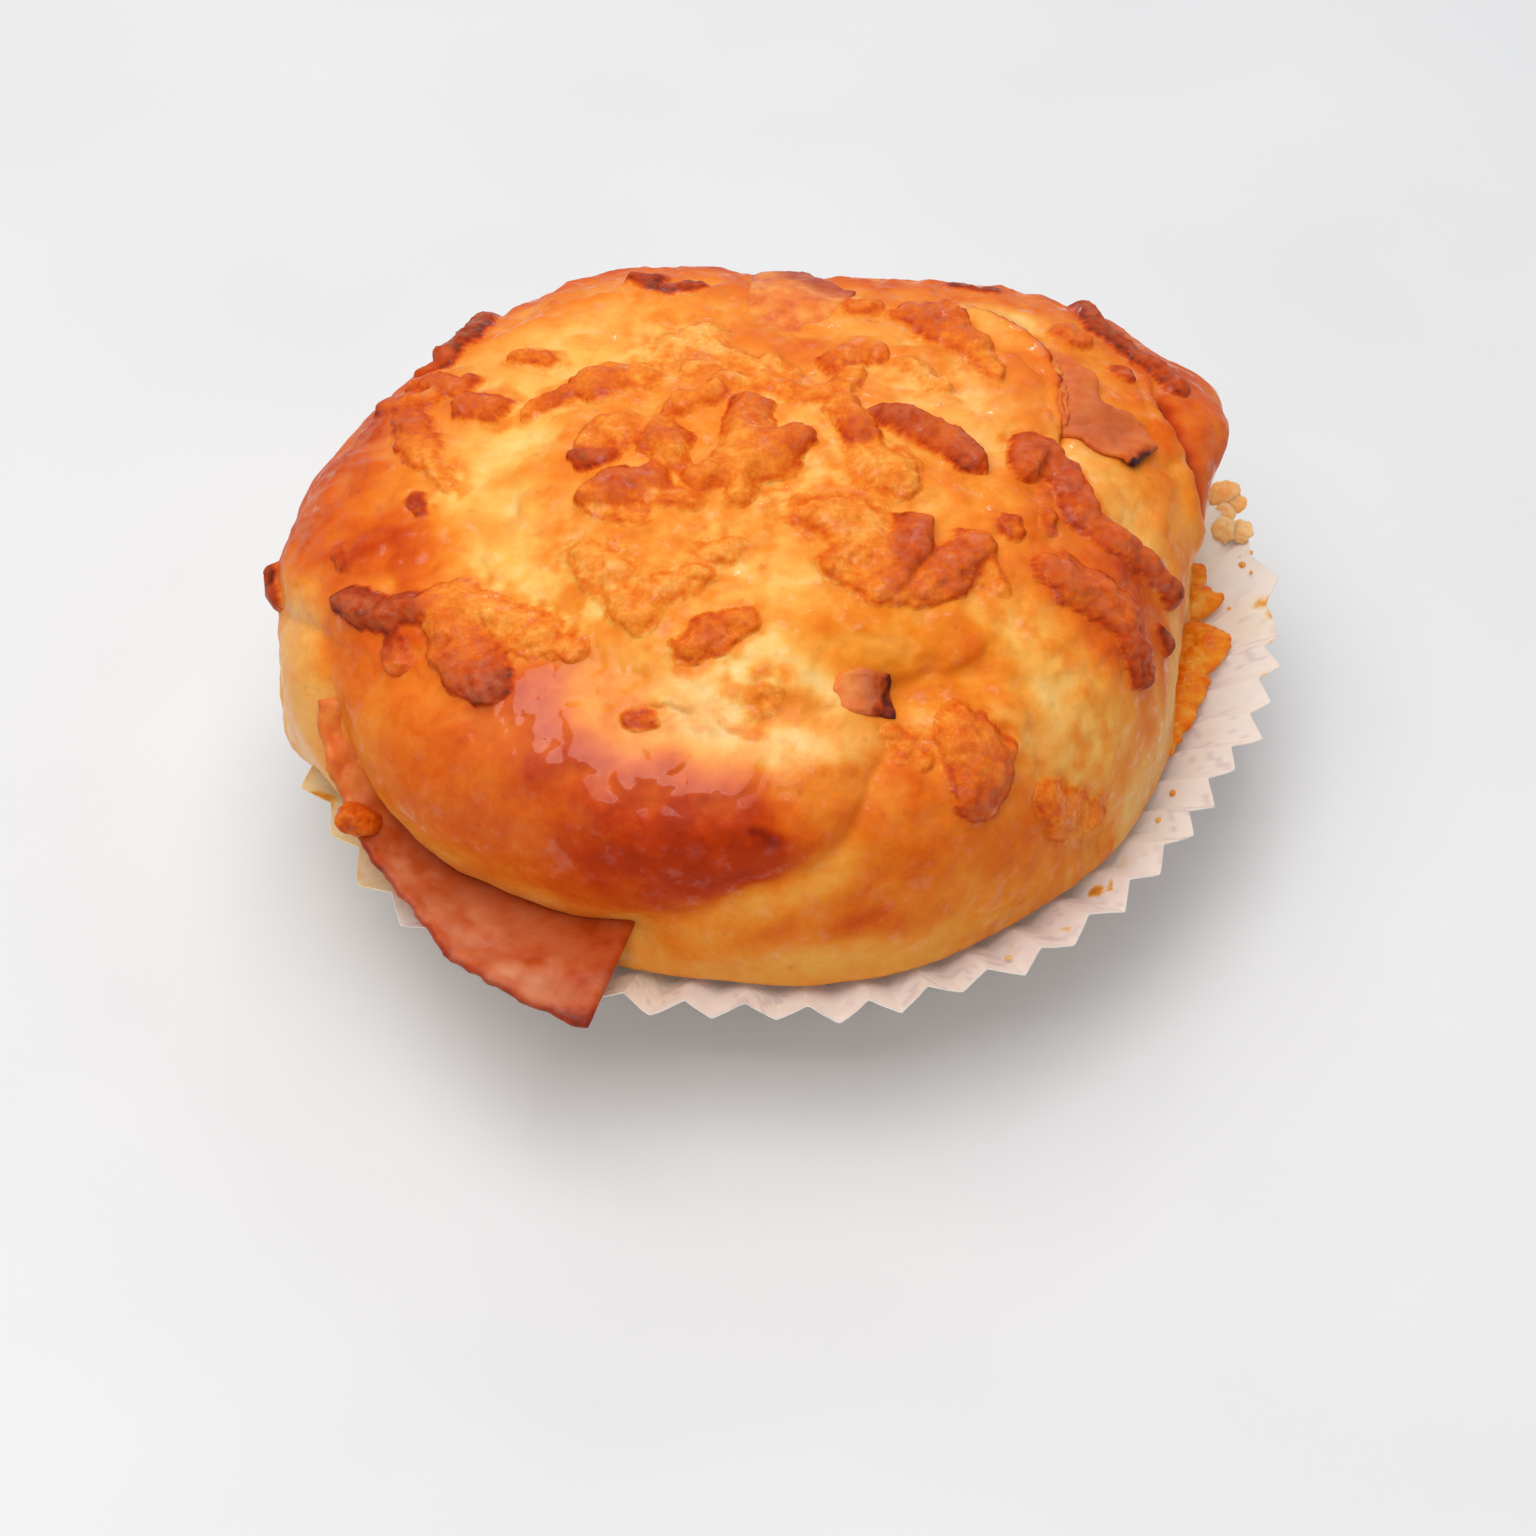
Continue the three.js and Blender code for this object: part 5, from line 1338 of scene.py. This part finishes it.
# the floor of the case, rings towards its centre
FLOOR_RINGS = 9
ring0 = np.arange(cols) * rows_n
foot = Pm[:, 0]
fl, base_ids = [], [ring0]
total = cols * rows_n
for q_ in range(1, FLOOR_RINGS):
    f_ = 1 - q_ / FLOOR_RINGS
    ringp = foot * np.array([f_, f_, 0]) + np.array([0, 0, 0.08])
    ringp[:, 2] += 0.12 * np.abs(fbm(ringp, 6, 107, 2)) * (q_ > 0)
    fl.append(ringp)
    base_ids.append(total + np.arange(cols))
    total += cols
fl.append(np.array([[0, 0, 0.1]]))
centre_id = total
ftri = []
for q_ in range(FLOOR_RINGS - 1):
    A_, B_ = base_ids[q_], base_ids[q_ + 1]
    ftri.append(np.stack([A_, B_, np.roll(B_, -1)], 1))
    ftri.append(np.stack([A_, np.roll(B_, -1), np.roll(A_, -1)], 1))
last = base_ids[-1]
ftri.append(np.stack([last, np.full(cols, centre_id), np.roll(last, -1)], 1))
floor_pts = np.concatenate(fl)
outer = np.concatenate([wall_skin(HALF_PAPER), floor_pts + [0, 0, -0.07]])
inner = np.concatenate([wall_skin(-HALF_PAPER), floor_pts + [0, 0, 0.09]])
outer[:cols * rows_n][:, 2] = np.maximum(outer[:cols * rows_n][:, 2], 0.01)
skin = np.concatenate([wall] + ftri)
V, T = close_skin(outer, inner, skin)
# faces look outwards: check one wall triangle
f0 = T[0]
n0 = np.cross(V[f0[1]] - V[f0[0]], V[f0[2]] - V[f0[0]])
if n0 @ np.append(V[f0[0]][:2], 0) < 0:
    T = T[:, ::-1]


def cast_wall(px):
    """Where pixels fall on the wall of the case."""
    d = rays(px)
    steps = np.arange(430.0, 620.0, 0.5)
    P = CAM_POS + steps[None, :, None] * d[:, None, :]
    az = np.arctan2(P[..., 1], P[..., 0])
    f = np.hypot(P[..., 0], P[..., 1]) - wall_radius(az, np.maximum(P[..., 2], 0))
    ok = (P[..., 2] < rim_height(az) + 0.6) & (P[..., 2] > -0.5)
    out = np.zeros((len(d), 3))
    for k in range(len(d)):
        i = np.nonzero((f[k, 1:] * f[k, :-1] <= 0) & ok[k, 1:])[0]
        j = i[0] if len(i) else int(np.argmin(np.where(ok[k], np.abs(f[k]), 99)))
        out[k] = P[k, j]
    return out


def cast_near(px):
    """Where pixels fall on the wall or the dough, whichever is nearer, and whether it is bare wall."""
    wall_hit, dough_hit = cast_wall(px), cast(px)
    d = rays(px)
    tw = np.einsum("ij,ij->i", wall_hit - CAM_POS, d)
    td = np.einsum("ij,ij->i", dough_hit - CAM_POS, d)
    off_w = np.linalg.norm(wall_hit - CAM_POS - tw[:, None] * d, axis=1)
    az_ = np.arctan2(wall_hit[:, 1], wall_hit[:, 0])
    miss = np.abs(np.hypot(wall_hit[:, 0], wall_hit[:, 1]) - wall_radius(az_, np.maximum(wall_hit[:, 2], 0))) > 0.9
    off_d = np.linalg.norm(dough_hit - CAM_POS - td[:, None] * d, axis=1)
    bare = ~miss & (off_w < 0.2) & ((td > tw) | (off_d > 0.5))
    return np.where(bare[:, None], wall_hit, dough_hit), bare


def near_px(P, spots, facing=None):
    """Soft spots on the case: pixel, radius in mm, strength."""
    at = cast_wall([s_[0] for s_ in spots])
    total = np.zeros(len(P))
    for (_, radius, strength), c_ in zip(spots, at):
        d = np.linalg.norm(P - c_, axis=1)
        total = np.maximum(total, strength * (1 - smooth(d / radius, 0.35, 1.15)))
    return total


Q = warp(V, 3.0, 0.9, 110)
STAINS = [
    ((1262, 604), 1.8, 0.75), ((1276, 612), 1.5, 0.8), ((1274, 640), 1.8, 0.5), ((1268, 676), 1.8, 0.5), ((1222, 580), 1.0, 0.4),
    ((1098, 889), 1.5, 0.9), ((1112, 885), 1.0, 0.8), ((1068, 931), 0.9, 0.6), ((1010, 945), 1.2, 0.35), ((985, 955), 1.4, 0.3),
    ((1120, 862), 1.6, 0.4), ((320, 800), 3.0, 0.8), ((300, 806), 2.0, 0.8), ((345, 870), 2.6, 0.6), ((318, 858), 2.0, 0.6),
    ((300, 770), 3.0, 0.5), ((365, 884), 2.2, 0.4), ((870, 1012), 1.6, 0.15), ((1205, 790), 1.6, 0.3),
]
# grease soaked into the paper, yellower and glossier, at the left and the right; the spot at (640, 985), on the paper
# below the front roll, is a warm tint in the roll's shade, painted bounce light
OIL_AND_BOUNCE = [((300, 790), 10, 1.0), ((322, 840), 10, 1.0), ((360, 870), 9, 0.8), ((290, 740), 8, 0.6), ((1250, 620), 5, 0.25), ((640, 985), 6, 0.4)]
stain = near_px(Q, STAINS)
oil_and_bounce = near_px(Q, OIL_AND_BOUNCE)
# generic pale mauve print: short curls round the wall and soft blotches
az = np.arctan2(V[:, 1], V[:, 0])
arc = az * 55.0
level = np.clip(V[:, 2] / rim_height(az), 0, 1)
t_ = np.linspace(0, 1, 200)
run = np.concatenate([[0], np.cumsum(np.hypot(np.diff(18.8 * t_), np.diff(11.0 * (t_ + t_**FLARE))))])
up_wall = np.interp(level, t_, run)  # distance up the wall from its foot
wall_p = np.stack([arc, up_wall, np.zeros(len(V))], 1)
motif = np.floor(arc / 19.0)
mx = arc - (motif + 0.5) * 19.0
my = up_wall - 27.0 - 1.6 * np.sin(motif * 2.3)
rr = np.hypot(mx, my)
th = np.arctan2(my, mx)
curl = np.abs(rr - (1.3 + 0.42 * ((th + motif) % (2 * math.pi)))) < 0.26
stem = (np.abs(my - 0.25 * mx - 1.0 * np.sin(mx * 0.5)) < 0.22) & (np.abs(mx) < 6.5) & (rr > 3.4)
leaf = (np.hypot((mx - 5.5) * 0.75, (my + 0.8) * 1.5) < 1.4) | (np.hypot((mx + 5.2) * 0.9, (my - 1.4) * 1.6) < 1.2)
mauve = np.where(curl | stem | leaf, 1.0, 0.0) * smooth(fbm(wall_p, 7, 120, 2), -0.5, 0.1) * (level > 0.35)


def paper_material():
    m, t, b = material("baking_paper")
    k = Tree(t)
    fibre = k.noise(0.7, 4, 0.65, 0.3)
    cloud = k.noise(6.0, 3, 0.5)
    base = k.mix(cloud, lin((241, 224, 211)), lin((250, 240, 230)))
    base = k.mix(k.math("MULTIPLY", k.remap(fibre, 0.35, 0.7), 0.2), base, lin((234, 218, 210)))
    base = k.mix(k.math("MULTIPLY", k.attr("mauve"), 0.5, clamp=True), base, lin((196, 166, 178)))
    # yellow where grease has soaked in; below the front roll the same tint stands for painted bounce light
    base = k.mix(k.math("MULTIPLY", k.attr("oil_and_bounce"), 0.75, clamp=True), base, lin((240, 206, 130)))
    tone = k.math("MULTIPLY_ADD", k.math("SUBTRACT", k.noise(1.3, 3, 0.6), 0.5), 0.7, k.attr("stain"), clamp=True)
    base = k.mix(k.remap(tone, 0.25, 0.7), base, k.ramp(tone, [(0.2, (246, 200, 110)), (0.6, (236, 160, 44)), (1.0, (200, 100, 16))]))
    t.links.new(base, b.inputs["Base Color"])
    t.links.new(k.remap(k.attr("oil_and_bounce"), 0.0, 1.0, 0.72, 0.4), b.inputs["Roughness"])
    b.inputs["Specular IOR Level"].default_value = 0.3
    b.inputs["Subsurface Weight"].default_value = 0.35
    b.inputs["Subsurface Radius"].default_value = (1.0, 0.85, 0.75)
    b.inputs["Subsurface Scale"].default_value = 0.0015
    t.links.new(k.bump(fibre, 0.35, 0.06), b.inputs["Normal"])
    return m


MAT_PAPER = paper_material()
case = mesh_object("paper_case_pleated", V, T, dict(stain=stain, oil_and_bounce=oil_and_bounce, mauve=mauve), MAT_PAPER)
case.data.polygons.foreach_set("use_smooth", [False] * len(case.data.polygons))
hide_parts("paper_case")
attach(case, "root")

# ------------------------------------------------------------------ crisp frill of cheese at the right
# lobes that lie on the flared wall: azimuth, half width in degrees, height of the tip
FRILL_LOBES = [(20.4, 3.0, 17.9), (15.4, 2.8, 18.0), (6.4, 5.2, 18.2), (-1.2, 3.4, 17.6), (-6.5, 3.2, 17.3), (-11.6, 3.6, 16.9)]
FR_FROM, FR_TO = 25.0, -15.0
nu, nv = 420, 44
U, Vv = np.meshgrid(np.linspace(0, 1, nu), np.linspace(0, 1, nv), indexing="ij")
az_f = np.radians(FR_FROM + (FR_TO - FR_FROM) * U)
line = np.stack([az_f[:, 0] * 52, np.zeros(nu), np.zeros(nu)], 1)
az_w = np.degrees(az_f[:, 0]) + 0.5 * noise(line, 3.0, 131)
foot_z = 16.9 - 0.7 * np.exp(-(((az_w - 11.4) / 1.0) ** 2))
tip_z = foot_z + 0
for at_, half_, z_ in FRILL_LOBES:
    x_ = np.abs(az_w - at_) / half_
    tip_z = np.maximum(tip_z, foot_z + (z_ - foot_z) * np.sqrt(np.clip(1 - x_ * x_, 0, 1)))
tip_z = tip_z - 0.1 + 0.2 * noise(line, 1.9, 133) + 0.12 * noise(line, 0.9, 134)
z_f = 12.0 + (tip_z[:, None] - 12.0) * Vv**0.8
slope = (wall_inside(az_f, z_f + 0.1) - wall_inside(az_f, z_f - 0.1)) / 0.2
over_n = np.hypot(1, slope)
base = np.stack([np.cos(az_f), np.sin(az_f), np.zeros_like(az_f)], 2)
on_wall = np.stack([az_f * 52, wall_inside(az_f, z_f), np.zeros_like(z_f)], 2).reshape(-1, 3)
bumps = (fbm(on_wall, 2.0, 135, 3) + 0.35 * fbm(on_wall, 0.8, 136, 2)).reshape(nu, nv)
round_ = np.sqrt(np.clip((1 - Vv) * 5.0, 0.02, 1)) * np.sqrt(np.clip(np.minimum(U, 1 - U) * 14, 0.05, 1))


def frill_skin(off):
    r_ = wall_inside(az_f, z_f) - off / over_n
    lifted = z_f + off * slope / over_n
    return (base * r_[:, :, None] + np.stack([np.zeros_like(z_f)] * 2 + [lifted], 2)).reshape(-1, 3)


def frill_material():
    m, t, b = material("crisp_cheese")
    k = Tree(t)
    v = k.math("MULTIPLY_ADD", k.math("SUBTRACT", k.noise(1.6, 4, 0.65), 0.5), 0.7, k.attr("bake"), clamp=True)
    t.links.new(k.ramp(v, [(0.0, (255, 196, 84)), (0.3, (252, 150, 26)), (0.6, (238, 102, 4)), (1.0, (184, 52, 2))]), b.inputs["Base Color"])
    t.links.new(k.remap(k.noise(0.8, 3, 0.6), 0.3, 0.7, 0.3, 0.6), b.inputs["Roughness"])
    b.inputs["Specular IOR Level"].default_value = 0.15
    t.links.new(k.remap(k.noise(1.8, 3, 0.6), 0.54, 0.68, 0.0, 0.7), b.inputs["Coat Weight"])
    b.inputs["Coat Roughness"].default_value = 0.14
    b.inputs["Subsurface Weight"].default_value = 0.2
    b.inputs["Subsurface Radius"].default_value = (1.0, 0.45, 0.12)
    b.inputs["Subsurface Scale"].default_value = 0.002
    n1 = k.bump(k.noise(1.0, 4, 0.65), 0.8, 0.3)
    t.links.new(n1, b.inputs["Normal"])
    return m


skin_out = frill_skin(0.9 - 0.4 * round_)
skin_in = frill_skin(1.2 + (1.5 + 1.1 * bumps) * round_)
i, j = np.meshgrid(np.arange(nu - 1), np.arange(nv - 1), indexing="ij")
a = (i * nv + j).ravel()
tris = np.concatenate([np.stack([a, a + 1, a + nv + 1], 1), np.stack([a, a + nv + 1, a + nv], 1)])
V, T = close_skin(skin_out, skin_in, tris)
tone_f = 0.27 + 0.26 * bumps.ravel() + 0.1 * smooth(Vv.ravel(), 0.8, 1.0)
two = lambda v: np.concatenate([v, v])
n_f = len(tone_f)
frill = mesh_object(
    "cheese_frill_crisp", V, T,
    dict(bake=two(np.clip(tone_f, 0, 1))), frill_material())
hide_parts("cheese_frill")
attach(frill, "root")


# ------------------------------------------------------------------ lumps and crumbs that lie on the paper
def sphere(n):
    theta_, counts_ = np.linspace(0, math.pi, n + 1), [1] + [
        max(6, int(2.0 * n * math.sin(math.pi * k_ / n))) for k_ in range(1, n)] + [1]
    return ring_mesh(theta_, counts_)


def on_slice(px):
    """The place on the front slice that a pixel sees."""
    G = FRONT_SLICE.reshape(-1, 3)
    d = rays([px])[0]
    rel = G - CAM_POS
    t_ = rel @ d
    off = np.linalg.norm(rel - t_[:, None] * d, axis=1)
    return G[int(np.argmin(off + 0.05 * (t_ - t_.min())))]


def cream_material():
    m, t, b = material("cream_cheese")
    k = Tree(t)
    v = k.math("MULTIPLY_ADD", k.math("SUBTRACT", k.noise(0.9, 3, 0.6), 0.5), 0.6, k.attr("bake"), clamp=True)
    t.links.new(k.ramp(v, [(0.0, (255, 232, 188)), (0.35, (255, 206, 146)), (0.7, (252, 170, 88)), (1.0, (214, 120, 40))]), b.inputs["Base Color"])
    b.inputs["Roughness"].default_value = 0.4
    b.inputs["Specular IOR Level"].default_value = 0.3
    b.inputs["Subsurface Weight"].default_value = 0.4
    b.inputs["Subsurface Radius"].default_value = (1.0, 0.7, 0.4)
    b.inputs["Subsurface Scale"].default_value = 0.002
    t.links.new(k.bump(k.noise(0.6, 3, 0.6), 0.4, 0.12), b.inputs["Normal"])
    return m


MAT_CREAM = cream_material()


def lumps(name, spots, lift, look=None):
    verts, faces, bake_v, start = [], [], [], 0
    at, bare = cast_near([s_[0] for s_ in spots])
    at = np.array([on_slice(s_[0]) if len(s_) > 3 else c_ for s_, c_ in zip(spots, at)])
    spots = [s_[:3] for s_ in spots]
    for n_, ((_, size, tone_), c_, bare_) in enumerate(zip(spots, at, bare)):
        room = rim_radius(np.array([math.atan2(c_[1], c_[0])]))[0] - math.hypot(c_[0], c_[1])
        if max(size) < 0.8 and (not bare_ or room < 1.2):
            continue
        Dn, Tn = sphere(22 if max(size) > 1.2 else 10)
        shape = 1 + 0.25 * fbm(Dn * 3 + n_ * 7.1, 2.0, 141, 3)
        a_ = math.atan2(c_[1], c_[0])
        e1 = np.array([-math.sin(a_), math.cos(a_), 0.0])
        inward = -np.array([math.cos(a_), math.sin(a_), -2.0])
        inward /= np.linalg.norm(inward)
        e2 = np.cross(inward, e1)
        M = np.stack([e1 * size[0], e2 * size[1], inward * size[2]])
        verts.append(c_ + inward * (size[2] * 0.6 + lift) + (Dn * shape[:, None]) @ M)
        faces.append(Tn + start)
        start += len(Dn)
        bake_v.append(np.clip(tone_ + 0.14 * fbm(Dn * 3 + n_, 1.5, 143, 2), 0, 1))
    V_, T_, b__ = np.concatenate(verts), np.concatenate(faces), np.concatenate(bake_v)
    o = mesh_object(name, V_, T_, dict(bake=b__, wet=np.full(len(b__), 0.35), rosy=np.full(len(b__), 0.05), gloss=np.full(len(b__), 0.5)), look or MAT_CHEESE)
    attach(o, "root")
    return o


lumps("cheese_bead_left", [((354, 830), (2.2, 2.7, 1.7), 0.66, "slice")], 0.1)
lumps("cheese_lumps_on_paper", [
    ((1226, 496), (2.1, 1.9, 0.6), 0.55), ((1238, 506), (1.3, 1.2, 0.5), 0.6), ((1226, 532), (2.0, 1.5, 0.6), 0.42),
    ((1227, 514), (1.5, 1.2, 0.5), 0.45), ((1242, 533), (1.8, 1.4, 0.6), 0.45),
], 0.1, MAT_CREAM)
crumb_spots = []
for (x, y), spread, count in (((1245, 600), 18, 3), ((1190, 800), 24, 3), ((325, 835), 20, 4), ((1000, 960), 30, 2), ((1245, 560), 16, 3)):
    for _ in range(count):
        px_ = (x + rng.normal() * spread, y + rng.normal() * spread * 0.7)
        s_ = rng.uniform(0.18, 0.42)
        crumb_spots.append((px_, (s_ * rng.uniform(0.8, 1.4), s_, s_ * 0.8), rng.uniform(0.1, 0.35)))
lumps("crumbs", crumb_spots, 0.05)

# ------------------------------------------------------------------ floor, light and camera
floor_mat, t, b = material("floor_plain")
k = Tree(t)
t.links.new(k.ramp(k.noise(60.0, 2, 0.5), [(0.3, (226, 226, 227)), (0.7, (231, 231, 231))]), b.inputs["Base Color"])
b.inputs["Roughness"].default_value = 0.6
bpy.ops.mesh.primitive_plane_add(size=6.0, location=(0, 0, 0))
floor = bpy.context.object
floor.name = "floor"
floor.data.materials.append(floor_mat)

world = bpy.data.worlds.new("studio")
bpy.context.scene.world = world
world.use_nodes = True
world.node_tree.nodes["Background"].inputs[0].default_value = (0.93, 0.96, 1.0, 1)
world.node_tree.nodes["Background"].inputs[1].default_value = 0.47


def area(name, at, to, size, watts, colour=(1, 1, 1)):
    light = bpy.data.lights.new(name, "AREA")
    light.shape = "RECTANGLE"
    light.size, light.size_y = size
    light.energy = watts
    light.color = colour
    o = bpy.data.objects.new(name, light)
    bpy.context.scene.collection.objects.link(o)
    o.location = at
    o.rotation_euler = (Vector(to) - Vector(at)).to_track_quat("-Z", "Y").to_euler()
    return o


area("softbox_top", (-0.12, -0.06, 0.60), (-0.12, -0.06, 0.02), (0.56, 0.70), 2.9, (1.0, 0.985, 0.96))
area("strip_light", (-0.14, -0.375, 0.60), (-0.14, -0.375, 0.0), (0.34, 0.03), 0.36, (1.0, 0.99, 0.97))
area("glint_light", (0.05, 0.62, 0.60), (0, 0, 0.03), (0.10, 0.06), 0.22)
area("softbox_back", (0.10, 0.75, 0.40), (0, 0, 0.03), (0.7, 0.5), 0.7, (0.97, 0.98, 1.0))

camera = bpy.data.cameras.new("camera")
camera.sensor_width = 36.0
camera.lens = FOCAL_PX / 1536.0 * 36.0
camera.clip_start = 0.01
cam = bpy.data.objects.new("camera", camera)
bpy.context.scene.collection.objects.link(cam)
p = CAM_POS / 1000.0
cam.matrix_world = Matrix((
    (CAM_RIGHT[0], CAM_UP[0], -CAM_FWD[0], p[0]),
    (CAM_RIGHT[1], CAM_UP[1], -CAM_FWD[1], p[1]),
    (CAM_RIGHT[2], CAM_UP[2], -CAM_FWD[2], p[2]),
    (0, 0, 0, 1),
))
bpy.context.scene.camera = cam
bpy.context.scene.view_settings.view_transform = "Standard"
